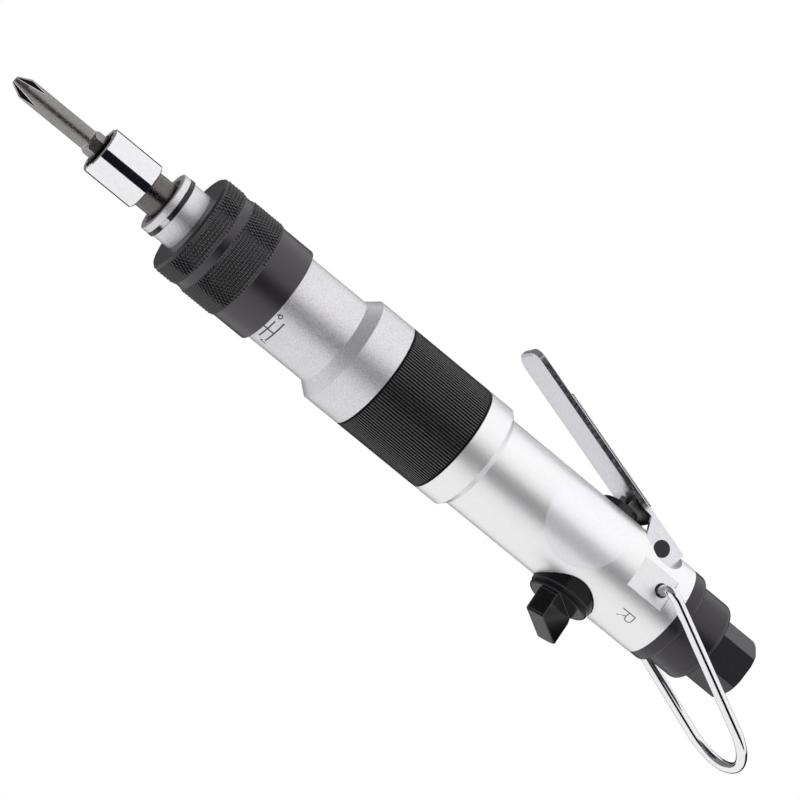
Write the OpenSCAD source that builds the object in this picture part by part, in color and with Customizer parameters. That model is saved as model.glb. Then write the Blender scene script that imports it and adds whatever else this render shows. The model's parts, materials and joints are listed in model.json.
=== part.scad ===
// Straight pneumatic screwdriver with a lever throttle, a reverse knob and an adjustable clutch.
// The tool's axis is X: the bit points to -X and the air inlet to +X. The lever is on the +Z side.
// The origin is on the axis, at the mouth of the hexagonal bit socket. All lengths are millimetres.

/* [Bit] */
// Hexagon of the insert bit, across its flats
bit_hex_af = 6.35; // [6.2:0.05:6.4]
// How far the bit's tip stands out of the socket
bit_reach = 28.9; // [26:0.1:60]
// How far the hexagon shows before the socket
bit_hex_reach = 3.5; // [2:0.1:5]
// Depth of the bit in the socket
bit_depth = 20; // [18:0.5:21]
// Diameter of the round shank
bit_shank_d = 6; // [5.6:0.1:6.1]
// Length of the pointed end that carries the cross
bit_point = 3.7; // [3.5:0.1:8]
// Width of one wing of the cross
bit_wing = 1.3; // [0.9:0.05:1.6]
// Diameter of the blunt tip
bit_tip_d = 2.3; // [1.4:0.1:2.5]
// Diameter of the groove for the locking ball
bit_groove_d = 4.7; // [4.4:0.1:4.8]

/* [Chuck] */
// Diameter of the spindle inside the chuck sleeve
nose_d = 9.2; // [9:0.1:9.6]
// Diameter of the spindle behind the chuck
spindle_d = 11; // [10.8:0.1:11.2]
// Diameter of the chrome sleeve
sleeve_d = 14.2; // [13.8:0.1:15]
// Length of the chrome sleeve
sleeve_len = 16.45; // [15.8:0.05:17]
// Distance of the sleeve's front face behind the socket's mouth
sleeve_setback = 0.6; // [0.4:0.1:0.8]
// Travel of the sleeve when a bit is changed
sleeve_travel = 3.5; // [2.5:0.1:3.8]
// Diameter of the locking ball
ball_d = 2.2; // [2:0.1:2.3]

/* [Clutch collar] */
// Distance of the housing's front face behind the socket's mouth
nose_front = 23; // [22:0.1:26]
// Length of the bare nose in front of the collar
nose_len = 9.2; // [8:0.1:12]
// Diameter of the nose
housing_nose_d = 18; // [17.4:0.1:18.4]
// Diameter of the nose's front flange
nose_flange_d = 18.7; // [18.5:0.1:19]
// Diameter over the knurl's peaks
collar_d = 31.4; // [31:0.1:33]
// Diameter of the smooth rear of the collar
collar_rear_d = 30.3; // [30:0.1:30.8]
// Length of the front knurled band
knurl_front_len = 6.6; // [5:0.1:8]
// Length of the smooth band between the knurls
knurl_gap_len = 2.5; // [2:0.1:4]
// Length of the rear knurled band
knurl_rear_len = 11; // [9:0.1:13]
// Length of the smooth rear of the collar
collar_rear_len = 10.75; // [10:0.05:12]
// Depth of the knurl
knurl_depth = 0.45; // [0.3:0.05:0.6]
// Number of diamonds around the collar
knurl_count = 56; // [40:2:64]
// Axial travel of the collar over the scale
collar_travel = 3.85; // [3:0.05:3.9]

/* [Front housing] */
// Diameter of the neck that carries the scale
neck_d = 27.6; // [27.4:0.1:28]
// Length of the neck behind the collar
neck_len = 20.35; // [20:0.05:24]
// Length of the cone between the neck and the band
cone_len = 3.7; // [2.5:0.1:5]
// Diameter of the thickest part, the bands before and behind the grip
body_d = 33.6; // [33:0.1:36]
// Length of the band before the grip
front_band_len = 11.2; // [11:0.1:14]

/* [Grip and rear housing] */
// Length of the ribbed grip
grip_len = 28.7; // [26:0.1:32]
// Number of ribs around the grip
rib_count = 120; // [80:2:130]
// Depth of the grooves between the ribs
rib_depth = 0.35; // [0.25:0.05:0.5]
// Length of the band behind the grip
rear_band_len = 7.7; // [6:0.1:10]
// Length of the cone behind that band
rear_cone_len = 2; // [1.5:0.1:3]
// Diameter of the rear tube
tube_d = 29.4; // [29.2:0.1:30]
// Length of the rear tube
tube_len = 68.5; // [68:0.1:72]
// Half the distance between the two side flats
flat_half = 13.84; // [13.6:0.02:14]

/* [Tail] */
// Diameter of the exhaust cap's front rim
cap_d = 29.2; // [28.8:0.1:29.4]
// Diameter of the exhaust cap behind its shoulder
cap_step_d = 25.6; // [25:0.1:27]
// Length of the exhaust cap
cap_len = 16.3; // [15:0.1:18]
// Hexagon of the inlet bushing, across its flats
inlet_af = 17; // [17:0.5:19]
// Length of the inlet hexagon
inlet_hex_len = 12.4; // [12.2:0.1:14]
// Diameter of the female inlet thread
inlet_thread_d = 11.4; // [11:0.1:11.8]
// Depth of the female inlet thread
inlet_thread_len = 12; // [11:0.5:12]

/* [Lever and throttle] */
// Width of the lever over its flanges
lever_w = 14.6; // [14.2:0.1:15]
// Thickness of the lever's sheet
lever_t = 1.2; // [1:0.1:1.3]
// Length of the lever from its pin to its tip
lever_len = 66.2; // [60:0.1:70]
// Slope of the released lever against the tool's axis, in degrees
lever_slope = 16.3; // [15:0.1:17]
// Height of the lever's back over its pin
lever_back = 4.38; // [4.3:0.02:4.6]
// Depth of the lever's side flanges
lever_flange = 1.8; // [1.6:0.1:2.4]
// Swing of the lever when it is pressed, in degrees
lever_swing = 9; // [7:0.5:9]
// Diameter of the lever's pin
pin_d = 5; // [4.8:0.1:5.1]
// Height of the lever's pin above the axis
pin_z = 11.7; // [11.6:0.1:11.9]
// Distance of the lever's pin before the tube's rear end
pin_setback = 12.1; // [11.8:0.1:12.6]
// Distance of the valves before the lever's pin
valve_setback = 14.6; // [14.4:0.1:15]
// Diameter of the throttle bush's head
bush_head_d = 11.4; // [11:0.1:11.5]
// Diameter of the throttle stem
stem_d = 3; // [2.8:0.1:3.1]

/* [Reverse knob] */
// Diameter of the knob's round base
knob_d = 19; // [18:0.1:19.2]
// Distance of the base's outer face from the tool's axis
knob_base_z = 17.5; // [17:0.1:18.5]
// Distance of the fin's end from the tool's axis
knob_fin_z = 26.1; // [24:0.1:27]
// Thickness of the fin
knob_fin_t = 5.6; // [5:0.1:7]
// Length of the fin
knob_fin_len = 19.6; // [17:0.1:20]
// Direction of the fin at rest, in degrees from the axis
knob_turn = 50; // [30:1:60]

/* [Hanging bail] */
// Diameter of the wire
bail_wire_d = 3.2; // [2.8:0.1:3.4]
// Reach of the bail's centre line from its pivot
bail_reach = 56.3; // [50:0.1:60]
// Radius of the bail's round end, on the centre line
bail_end_r = 14; // [13.5:0.1:15]
// Taper of one side, in degrees
bail_taper = 8.8; // [8.6:0.1:9.5]
// Bend radius at the pivots, on the centre line
bail_bend_r = 3.2; // [3:0.1:4]
// Angle of the bail at rest below the axis, in degrees
bail_drop = 23.7; // [15:0.1:40]
// Distance of the pivot before the tube's rear end
bail_setback = 7.6; // [7.4:0.1:8]

/* [Gears] */
// Module of the gears
gear_module = 0.5; // [0.48:0.01:0.5]
// Teeth of the sun pinion
sun_teeth = 12; // [12:12:12]
// Teeth of each planet gear
planet_teeth = 15; // [15:15:15]
// Face width of the planet gears
gear_face = 7; // [6:0.1:7.2]

/* [Hidden] */

$fn = 72;
// Overrun of every cutting shape
cut = 1;
// Radial clearance of a running fit
run_fit = 0.05;
// Clearance between two pieces that are only assembled
seat_gap = 0.05;
// Gap between pieces that move past each other
move_gap = 0.3;
// Edge break on turned parts
edge = 0.4;

// Colours
bright = [0.86, 0.87, 0.88];
satin = [0.83, 0.83, 0.85];
steel = [0.55, 0.55, 0.57];
dark_steel = [0.26, 0.25, 0.25];
black = [0.13, 0.13, 0.14];
anodised = [0.2, 0.19, 0.21];
bronze = [0.7, 0.52, 0.3];
fibre = [0.45, 0.33, 0.2];
tin = [0.72, 0.73, 0.74];

// Stations of the outer pieces along the axis
snap_groove_w = 1.5;
nose_flange_len = 2.1;
collar_front_x = nose_front + nose_len;
collar_chamfer = 0.8;
knurl_front_x = collar_front_x + collar_chamfer;
knurl_gap_x = knurl_front_x + knurl_front_len;
knurl_rear_x = knurl_gap_x + knurl_gap_len;
collar_smooth_x = knurl_rear_x + knurl_rear_len;
collar_end_x = collar_smooth_x + collar_rear_len;
neck_end_x = collar_end_x + neck_len;
cone_end_x = neck_end_x + cone_len;
grip_x = cone_end_x + front_band_len;
grip_end_x = grip_x + grip_len;
band_end_x = grip_end_x + rear_band_len;
tube_x = band_end_x + rear_cone_len;
tube_end_x = tube_x + tube_len;
cap_end_x = tube_end_x + cap_len;
inlet_end_x = cap_end_x + inlet_hex_len;

// Chuck details
hex_fit = 0.08;
hex_turn = 18;
bit_chamfer_len = 1.2;
sleeve_end_x = sleeve_setback + sleeve_len;
sleeve_lip = 2.4;
sleeve_mouth_gap = 1.2;
sleeve_land = 3.2;
land_x = sleeve_setback + sleeve_lip;
land_end_x = land_x + sleeve_land;
shoulder_x = land_end_x + 2.2 * sleeve_travel;
retainer_t = 0.7;
ball_x = land_x + sleeve_land / 2;
socket_depth = bit_depth + 2 * edge;

// Clutch details
thread_step = 2.2;
thread_r = neck_d / 2 - thread_step;
thread_wall = 1.2;
clutch_r = thread_r - thread_wall;
collar_flange_t = 3.5;
front_wall_x = collar_front_x + collar_flange_t + collar_travel + move_gap + seat_gap;
front_wall_t = 4;
clutch_x = front_wall_x + front_wall_t;
neck_front_x = collar_smooth_x + collar_travel - edge;
collar_step_x = neck_front_x - collar_travel - move_gap;
bush_wall = 2;
push_pin_r = 0.75;
push_pin_pitch_r = (housing_nose_d / 2 + thread_r) / 2;
washer_t = 1.5;
clutch_spring_len = 15;
jaw_t = 6;
jaw_r = clutch_r - 2 * move_gap;
clutch_ball_d = 4;
clutch_ball_pitch_r = 7.6;
ball_gap = 1.6;
journal_r = 5;
spline_r = 4.6;
spring_x = clutch_x + move_gap + washer_t;
jaw_x = spring_x + clutch_spring_len;
driver_x = jaw_x + jaw_t + ball_gap;
driver_t = 4;
bearing_r = thread_r - 0.6 * edge;
carrier_bearing_w = 6;
carrier_bearing_x = neck_end_x - carrier_bearing_w - edge;

// Gears
ring_teeth = sun_teeth + 2 * planet_teeth;
pressure_angle = 20;
tooth_play = 0.05;
addendum_share = 0.88;
dedendum_share = 1.25;
flank_steps = 4;
planet_orbit_r = gear_module * (sun_teeth + planet_teeth) / 2;
planet_places = [0, 120, 240];
planet_pin_r = 1.5;
carrier_t = 3;
carrier_x = carrier_bearing_x + carrier_bearing_w + move_gap;
gear_x = carrier_x + carrier_t + move_gap;
gear_end_x = gear_x + gear_face;
ring_wall = 1.4;
ring_r = gear_module * ring_teeth / 2 + gear_module * dedendum_share + ring_wall;
chamber_r = ring_r + seat_gap;
spigot_r = (chamber_r + body_d / 2) / 2;
spigot_len = 7;

// Air motor
plate_t = 6;
plate_lip = 1;
motor_bearing_r = 7.5;
motor_bearing_w = 5;
shaft_r = 3;
shaft_hole_r = shaft_r + move_gap;
front_plate_x = gear_end_x + gear_module + 2 * move_gap;
liner_x = front_plate_x + plate_t;
liner_len = 38;
liner_wall = 2.1;
liner_offset = 0.8;
liner_bore_r = ring_r - liner_wall;
rotor_r = liner_bore_r - liner_offset - move_gap;
rear_plate_x = liner_x + liner_len;
chamber_end_x = rear_plate_x + plate_t + edge;
vane_count = 5;
vane_t = 1.1;
vane_slot_t = vane_t + 4 * seat_gap;
vane_root_r = 4.6;
vane_start = 36;
rotor_x = liner_x + move_gap;
rotor_end_x = rear_plate_x - move_gap;

// Valves
pin_x = tube_end_x - pin_setback;
valve_x = pin_x - valve_setback;
throttle_r = 4;
throttle_ball_r = 3;
throttle_ball_z = 3.6;
throttle_travel = valve_setback * sin(lever_swing);
throttle_spring_rest = 2.9;
throttle_floor_z = throttle_ball_z - throttle_ball_r - throttle_travel - throttle_spring_rest;
seat_z = throttle_ball_z + sqrt(throttle_ball_r * throttle_ball_r - stem_d * stem_d / 4) + 0.5 * move_gap;
bush_head_sunk = 1.2;
bush_head_proud = 1.1;
bush_head_z = tube_d / 2 - bush_head_sunk;
bush_top_z = tube_d / 2 + bush_head_proud;
lever_gap = 0.1;
valve_r = 5.4;
valve_top_z = -6;
knob_seat_z = -11;
knob_gap = 0.2;
knob_rim_z = 15.6;
knob_rim_step = 0.3;
knob_round = 1;
feed_r = 1.6;
feed_z = (valve_top_z + knob_seat_z) / 2;
exhaust_r = 1.8;
exhaust_y = 8.8;
exhaust_z = -6;

// Tail details
shank_r = 8;
shank_grip = 13.6;
shank_x = tube_end_x - shank_grip;
air_r = 3.4;
cap_wall = 1.6;
cap_rim_len = 3.2;
cap_corner_r = 2.3;
cap_shoulder_r = 1.6;
cap_hole_r = 0.8;
cap_holes = 12;
hex_corner_turn = 11;
screen_t = 0.8;
screen_r = 5;
screen_hole_r = 0.5;
seal_wire_r = 0.9;
seal_x = tube_end_x - shank_grip / 2;

// Lever details
ear_gap = 0.2;
tongue_half = lever_w / 2 - lever_t - ear_gap;
ear_front = 9.97;
ear_rear = 5.6;
ear_r = 4.1;
ear_toe_u = 5.45;
ear_toe_v = 1.6;
web_rear = 6.5;
lever_tip_r = 5.4;
ridge_pitch = 1.8;
ridge_h = 0.35;
ridge_count = 18;
pocket_r = ear_r + 2 * move_gap;
pocket_toe = 6.2;
pocket_toe_drop = 1;
pocket_ramp_len = 1.95;
pocket_ramp_rise = 1.9;

// Bail details
pivot_x = tube_end_x - bail_setback;
bail_hole_gap = 0.5;
bail_hole_r = bail_wire_d / 2 + bail_hole_gap;
bail_hole_depth = 4.2;
bail_tip_gap = 0.5;
flat_ahead = 4.9;
flat_behind = 7.4;
flat_x = pin_x - flat_ahead;
flat_end_x = pin_x + flat_behind;

// Turned shape about the X axis from a list of [station, radius] points
module turned(outline) {
  rotate([0, 90, 0])
    rotate_extrude()
      polygon([for (p = outline) [p[1], p[0]]]);
}

// Round bar along the X axis
module rod(r, x0, x1) {
  translate([x0, 0, 0])
    rotate([0, 90, 0])
      cylinder(r = r, h = x1 - x0);
}

// Tube along the X axis
module tube(r, bore_r, x0, x1) {
  difference() {
    rod(r, x0, x1);
    rod(bore_r, x0 - cut, x1 + cut);
  }
}

// Round bar along the Y axis through a point of the XZ plane
module cross_rod(r, y0, y1, x, z) {
  translate([x, y0, z])
    rotate([-90, 0, 0])
      cylinder(r = r, h = y1 - y0);
}

// Round bar along the Z axis
module post(r, z0, z1, x) {
  translate([x, 0, z0])
    cylinder(r = r, h = z1 - z0);
}

// Hexagonal bar along the X axis
module hex_bar(af, x0, x1) {
  translate([x0, 0, 0])
    rotate([0, 90, 0])
      cylinder(r = af / sqrt(3), h = x1 - x0, $fn = 6);
}

// Copies of the children at equal steps about the X axis
module around(count, start = 0) {
  for (i = [0 : count - 1])
    rotate([start + i * 360 / count, 0, 0])
      children();
}

// Involute of an angle, in degrees
function involute(a) = tan(a) * 180 / PI - a;

// Half the angle of a tooth at a radius, in degrees; play is the linear change of its half thickness
function half_tooth(r, teeth, play) =
  let (pitch_r = gear_module * teeth / 2)
  let (a = acos(min(1, pitch_r * cos(pressure_angle) / r)))
  90 / teeth + involute(pressure_angle) - involute(a) + play / pitch_r * 180 / PI;

// Outline of a spur gear with one tooth centred on the first axis
function gear_outline(teeth, root_r, tip_r, play) =
  let (base_r = max(root_r, gear_module * teeth / 2 * cos(pressure_angle)))
  [for (k = [0 : teeth - 1], side = [-1, 1], j = [0 : flank_steps + 1])
    let (step = side < 0 ? j : flank_steps + 1 - j)
    let (r = step == 0 ? root_r : base_r + (tip_r - base_r) * (step - 1) / flank_steps)
    let (a = 360 * k / teeth + side * half_tooth(max(r, base_r), teeth, play))
    if (step > 0 || root_r < base_r) [r * cos(a), r * sin(a)]];

// Outline of an external gear of this set
function spur_outline(teeth) =
  let (pitch_r = gear_module * teeth / 2)
  gear_outline(teeth, pitch_r - gear_module * dedendum_share, pitch_r + gear_module * addendum_share,
    -tooth_play / 2);

// Gear blank along the X axis: the first axis of its outline points to +Z
module gear_bar(outline, x0, x1) {
  translate([x0, 0, 0])
    rotate([0, 90, 0])
      rotate([0, 0, 180])
        linear_extrude(x1 - x0)
          polygon(outline);
}

// Ring with a diamond knurl: rows of low pyramids, set in each other's gaps
module knurled_ring(peak_r, depth, bore_r, x0, length, count) {
  pitch = PI * 2 * peak_r / count;
  rows = 2 * round(length / pitch);
  low_r = peak_r - depth;
  function spot(r, k, i) =
    let (a = (i + (k % 2) / 2) * 360 / count)
    [x0 + length * k / rows, r * cos(a), r * sin(a)];
  corners = [for (k = [0 : rows], i = [0 : count - 1]) spot(low_r, k, i)];
  peaks = [for (k = [1 : rows - 1], i = [0 : count - 1]) spot(peak_r, k + 1, i) + [-length / rows, 0, 0]];
  bore = [for (k = [0, rows], i = [0 : count - 1]) spot(bore_r, k, i)];
  function corner(k, i) = k * count + (i + count) % count;
  function peak(k, i) = (rows + 1) * count + (k - 1) * count + i;
  function inner(k, i) = (rows + 1) * count + (rows - 1) * count + k * count + i % count;
  diamonds = [for (k = [1 : rows - 1], i = [0 : count - 1])
    let (left = corner(k, k % 2 == 0 ? i : i - 1))
    let (right = corner(k, k % 2 == 0 ? i + 1 : i))
    let (ahead = corner(k + 1, i))
    let (behind = corner(k - 1, i))
    each [[peak(k, i), left, behind], [peak(k, i), behind, right],
      [peak(k, i), right, ahead], [peak(k, i), ahead, left]]];
  front = [for (i = [0 : count - 1])
    each [[corner(0, i), corner(0, i + 1), corner(1, i)],
      [corner(0, i + 1), corner(0, i), inner(0, i)],
      [corner(0, i + 1), inner(0, i), inner(0, i + 1)]]];
  back = [for (i = [0 : count - 1])
    each [[corner(rows, i + 1), corner(rows, i), corner(rows - 1, i)],
      [corner(rows, i), corner(rows, i + 1), inner(1, i)],
      [corner(rows, i + 1), inner(1, i + 1), inner(1, i)]]];
  hole = [for (i = [0 : count - 1])
    each [[inner(0, i), inner(1, i), inner(0, i + 1)],
      [inner(0, i + 1), inner(1, i), inner(1, i + 1)]]];
  faces = concat(diamonds, front, back, hole);
  polyhedron(concat(corners, peaks, bore), [for (f = faces) [f[0], f[2], f[1]]]);
}

// Cross-head insert bit: hexagonal shank, ball groove, round neck and four-winged point
module bit() {
  hex_r = bit_hex_af / sqrt(3);
  shank_r = bit_shank_d / 2;
  flute_rise = 12.6;
  flute_len = shank_r / sin(flute_rise) + 2 * cut;
  color(steel)
    rotate([hex_turn, 0, 0])
      difference() {
        union() {
          intersection() {
            hex_bar(bit_hex_af, -bit_hex_reach, bit_depth);
            turned([[-bit_hex_reach, 0], [-bit_hex_reach, shank_r - edge / 4], [bit_chamfer_len - bit_hex_reach, hex_r],
              [bit_depth - edge, hex_r], [bit_depth, hex_r - edge], [bit_depth, 0]]);
          }
          turned([[-bit_hex_reach, 0], [-bit_hex_reach, shank_r], [bit_point - bit_reach, shank_r],
            [-bit_reach, bit_tip_d / 2], [-bit_reach, 0]]);
        }
        // Groove for the locking ball
        tube(hex_r + cut, bit_groove_d / 2, ball_x - ball_d / 2, ball_x + ball_d / 2);
        // Four flutes between the wings
        for (i = [0 : 3])
          rotate([45 + 90 * i, 0, 0])
            translate([-bit_reach, 0, bit_wing / sqrt(2)])
              rotate([0, 90 - flute_rise, 0])
                translate([0, 0, -cut])
                  linear_extrude(flute_len)
                    polygon([[0, 0], [-bit_shank_d, -bit_shank_d], [-bit_shank_d, bit_shank_d]]);
      }
}

// Chrome sleeve of the quick-change chuck
module chuck_sleeve() {
  r = sleeve_d / 2;
  lip_r = nose_d / 2 + sleeve_mouth_gap;
  bore_r = spindle_d / 2 + 2 * run_fit;
  color(bright)
    turned([[sleeve_setback, lip_r], [sleeve_setback, r - edge], [sleeve_setback + edge, r],
      [sleeve_end_x - edge, r], [sleeve_end_x, r - edge], [sleeve_end_x, bore_r],
      [land_end_x, bore_r], [land_end_x, nose_d / 2 + run_fit], [land_x, nose_d / 2 + run_fit],
      [land_x, lip_r]]);
}

// Return spring of the chuck sleeve, drawn as the sleeve of space that its coils fill
module chuck_spring() {
  room = (spindle_d - nose_d) / 2;
  color(steel)
    tube(nose_d / 2 + 0.85 * room, nose_d / 2 + 0.15 * room, land_end_x + seat_gap, shoulder_x - seat_gap);
}

// Locking ball that holds the bit's groove
module chuck_ball() {
  color(bright)
    translate([ball_x, 0, nose_d / 2 - ball_d / 2])
      sphere(d = ball_d - 2 * seat_gap);
}

// Wire ring at the spindle's mouth that stops the sleeve
module chuck_retainer() {
  color(dark_steel)
    tube(nose_d / 2 + retainer_t, nose_d / 2 - retainer_t / 2, land_x - seat_gap - retainer_t,
      land_x - seat_gap);
}

// Output spindle: bit socket in front, journal in the nose bush, splined end in the clutch
module spindle() {
  r = spindle_d / 2;
  color(dark_steel)
    difference() {
      turned([[0, 0], [0, nose_d / 2 - edge], [edge, nose_d / 2], [land_x - seat_gap - retainer_t, nose_d / 2],
        [land_x - seat_gap - retainer_t, (nose_d - retainer_t) / 2], [land_x - seat_gap, (nose_d - retainer_t) / 2],
        [land_x - seat_gap, nose_d / 2], [shoulder_x, nose_d / 2], [shoulder_x, r],
        [clutch_x - seat_gap, r], [clutch_x - seat_gap, spline_r], [driver_x - move_gap, spline_r],
        [driver_x - move_gap, 0]]);
      rotate([hex_turn, 0, 0])
        hex_bar(bit_hex_af + 2 * hex_fit, -cut, socket_depth);
      translate([ball_x, 0, 0])
        cylinder(d = ball_d, h = nose_d);
    }
}

// Bronze bush in the housing's nose
module nose_bush() {
  r = spindle_d / 2;
  color(bronze)
    tube(r + bush_wall - seat_gap / 2, r + run_fit, nose_front + nose_flange_len, clutch_x - seat_gap);
}

// Open black ring that keeps the collar on the nose
module snap_ring() {
  x0 = nose_front + nose_flange_len + seat_gap;
  x1 = x0 + snap_groove_w - 2 * seat_gap;
  groove_r = housing_nose_d / 2 - 0.6 * edge - edge;
  mouth = 3 * snap_groove_w;
  mouth_turn = 140;
  color(black)
    difference() {
      tube(housing_nose_d / 2 + edge, groove_r + seat_gap, x0, x1);
      rotate([mouth_turn, 0, 0])
        translate([x0 - cut, -mouth / 2, 0])
          cube([snap_groove_w + 2 * cut, mouth, housing_nose_d]);
    }
}

// Knurled collar that sets the clutch
module adjust_collar() {
  peak_r = collar_d / 2;
  low_r = peak_r - knurl_depth;
  core_r = low_r - 0.15 * knurl_depth;
  buried_r = low_r - knurl_depth;
  groove_r = collar_d / 2 - 1.1 * knurl_depth;
  rear_r = collar_rear_d / 2;
  flange_r = housing_nose_d / 2 + 2 * run_fit;
  bore_r = thread_r + run_fit;
  skirt_r = neck_d / 2 + 3 * run_fit;
  flange_x = collar_front_x + collar_flange_t;
  color(anodised)
    union() {
      turned([[collar_front_x, flange_r], [collar_front_x, peak_r - collar_chamfer],
        [knurl_front_x - edge / 2, peak_r - collar_chamfer / 4], [knurl_front_x, core_r],
        [knurl_gap_x, core_r], [knurl_gap_x, groove_r], [knurl_rear_x, groove_r], [knurl_rear_x, core_r],
        [collar_smooth_x, core_r], [collar_smooth_x, rear_r], [collar_end_x - edge, rear_r],
        [collar_end_x, rear_r - edge], [collar_end_x, skirt_r], [collar_step_x, skirt_r],
        [collar_step_x, bore_r], [flange_x, bore_r], [flange_x, flange_r]]);
      knurled_ring(peak_r, knurl_depth, buried_r, knurl_front_x, knurl_front_len, knurl_count);
      knurled_ring(peak_r, knurl_depth, buried_r, knurl_rear_x, knurl_rear_len, knurl_count);
    }
}

// Three pins that carry the collar's push through the housing's front wall
module push_pins() {
  x0 = collar_front_x + collar_flange_t + seat_gap;
  color(steel)
    around(3)
      translate([0, 0, push_pin_pitch_r])
        rod(push_pin_r, x0, clutch_x + move_gap);
}

// Washer between the push pins and the clutch spring
module thrust_washer() {
  color(steel)
    tube(clutch_r - move_gap, journal_r + 2 * move_gap, clutch_x + move_gap, spring_x);
}

// Clutch spring, drawn as the sleeve of space that its coils fill
module clutch_spring() {
  color(steel)
    tube(clutch_r - 3 * move_gap, clutch_r - 9 * move_gap, spring_x + seat_gap, jaw_x - seat_gap);
}

// Sliding clutch half with a pocket for each ball
module clutch_jaw() {
  pocket_x = jaw_x + jaw_t + ball_gap / 2;
  color(dark_steel)
    difference() {
      tube(jaw_r, spline_r + seat_gap, jaw_x, jaw_x + jaw_t);
      around(6)
        translate([pocket_x, 0, clutch_ball_pitch_r])
          sphere(d = clutch_ball_d + 2 * seat_gap);
    }
}

// Balls between the two clutch halves
module clutch_balls() {
  pocket_x = jaw_x + jaw_t + ball_gap / 2;
  color(bright)
    around(6)
      translate([pocket_x, 0, clutch_ball_pitch_r])
        sphere(d = clutch_ball_d);
}

// Planet carrier with the driving clutch half on its front end
module planet_carrier() {
  pocket_x = jaw_x + jaw_t + ball_gap / 2;
  rim_r = planet_orbit_r + planet_pin_r + 2 * edge;
  color(dark_steel)
    difference() {
      turned([[driver_x, 0], [driver_x, jaw_r], [driver_x + driver_t, jaw_r], [driver_x + driver_t, journal_r],
        [carrier_x, journal_r], [carrier_x, rim_r], [carrier_x + carrier_t, rim_r], [carrier_x + carrier_t, 0]]);
      around(6)
        translate([pocket_x, 0, clutch_ball_pitch_r])
          sphere(d = clutch_ball_d + 2 * seat_gap);
      for (a = planet_places)
        rotate([a, 0, 0])
          translate([0, 0, planet_orbit_r])
            rod(planet_pin_r, carrier_x - cut, carrier_x + carrier_t + cut);
      rod(shaft_r + move_gap, carrier_x + carrier_t - edge, carrier_x + carrier_t + cut);
    }
}

// Pins that carry the planet gears
module planet_pins() {
  color(steel)
    for (a = planet_places)
      rotate([a, 0, 0])
        translate([0, 0, planet_orbit_r])
          rod(planet_pin_r - seat_gap / 5, carrier_x, gear_end_x + move_gap);
}

// One planet gear on its pin; at this phase it meshes with the sun and the ring
module planet_gear(place) {
  color(steel)
    rotate([place, 0, 0])
      translate([0, 0, planet_orbit_r])
        difference() {
          gear_bar(spur_outline(planet_teeth), gear_x, gear_end_x);
          rod(planet_pin_r + run_fit, gear_x - cut, gear_end_x + cut);
        }
}

// Internal ring gear, fixed in the housing
module ring_gear() {
  pitch_r = gear_module * ring_teeth / 2;
  space = gear_outline(ring_teeth, pitch_r - gear_module * addendum_share,
    pitch_r + gear_module * dedendum_share, tooth_play / 2);
  color(steel)
    difference() {
      rod(ring_r, gear_x - move_gap / 2, front_plate_x - seat_gap);
      gear_bar(space, gear_x - move_gap / 2 - cut, front_plate_x + cut);
    }
}

// Sealed ball bearing, drawn as one ring with its shield grooves
module ball_bearing(r, bore_r, x0, width) {
  groove = 0.06 * width;
  rim_share = 0.24;
  rim = (r - bore_r) * rim_share;
  difference() {
    tube(r, bore_r, x0, x0 + width);
    for (x = [x0 - groove, x0 + width - groove])
      tube(r - rim, bore_r + rim, x, x + 2 * groove);
  }
}

// Bearing of the planet carrier
module carrier_bearing() {
  color(tin)
    ball_bearing(bearing_r - seat_gap, journal_r + run_fit, carrier_bearing_x, carrier_bearing_w);
}

// Front housing: nose, collar thread, neck, cone and band in one turned piece
module front_housing() {
  nose_r = housing_nose_d / 2;
  groove_r = nose_r - 1.6 * edge;
  groove_x = nose_front + nose_flange_len;
  flange_r = nose_flange_d / 2;
  bush_r = spindle_d / 2 + bush_wall;
  band_r = body_d / 2;
  color(satin)
    difference() {
      turned([[nose_front, bush_r], [nose_front, flange_r - edge / 2], [nose_front + edge / 2, flange_r],
        [groove_x, flange_r], [groove_x, groove_r], [groove_x + snap_groove_w, groove_r],
        [groove_x + snap_groove_w, nose_r], [front_wall_x, nose_r], [front_wall_x, thread_r],
        [neck_front_x, thread_r], [neck_front_x, neck_d / 2], [neck_end_x, neck_d / 2],
        [cone_end_x, band_r], [grip_x, band_r], [grip_x, spigot_r], [grip_x - spigot_len, spigot_r],
        [grip_x - spigot_len, chamber_r], [carrier_x - move_gap, chamber_r], [carrier_x - move_gap, bearing_r],
        [carrier_bearing_x, bearing_r], [carrier_bearing_x, clutch_r], [clutch_x, clutch_r],
        [clutch_x, bush_r]]);
      around(3)
        translate([0, 0, push_pin_pitch_r])
          rod(push_pin_r + run_fit, front_wall_x - cut, clutch_x + collar_travel + 2 * move_gap);
    }
}

// Plate that closes the motor in front and carries its bearing
module front_end_plate() {
  color(steel)
    difference() {
      tube(ring_r, shaft_hole_r, front_plate_x, liner_x - seat_gap);
      rod(motor_bearing_r, front_plate_x - cut, front_plate_x + plate_t - plate_lip);
    }
}

// Front bearing of the rotor
module front_bearing() {
  color(tin)
    ball_bearing(motor_bearing_r - seat_gap, shaft_r + run_fit, front_plate_x, motor_bearing_w - seat_gap);
}

// Slotted rotor; its front shaft carries the sun pinion
module rotor() {
  slot_depth = rotor_r - vane_root_r;
  color(steel)
    difference() {
      union() {
        rod(rotor_r, rotor_x, rotor_end_x);
        rod(shaft_r, gear_end_x, rear_plate_x + plate_t);
        gear_bar(spur_outline(sun_teeth), gear_x, gear_end_x + gear_module);
      }
      around(vane_count, vane_start)
        translate([rotor_x - cut, -vane_slot_t / 2, vane_root_r])
          cube([rotor_end_x - rotor_x + 2 * cut, vane_slot_t, slot_depth + cut]);
    }
}

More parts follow.
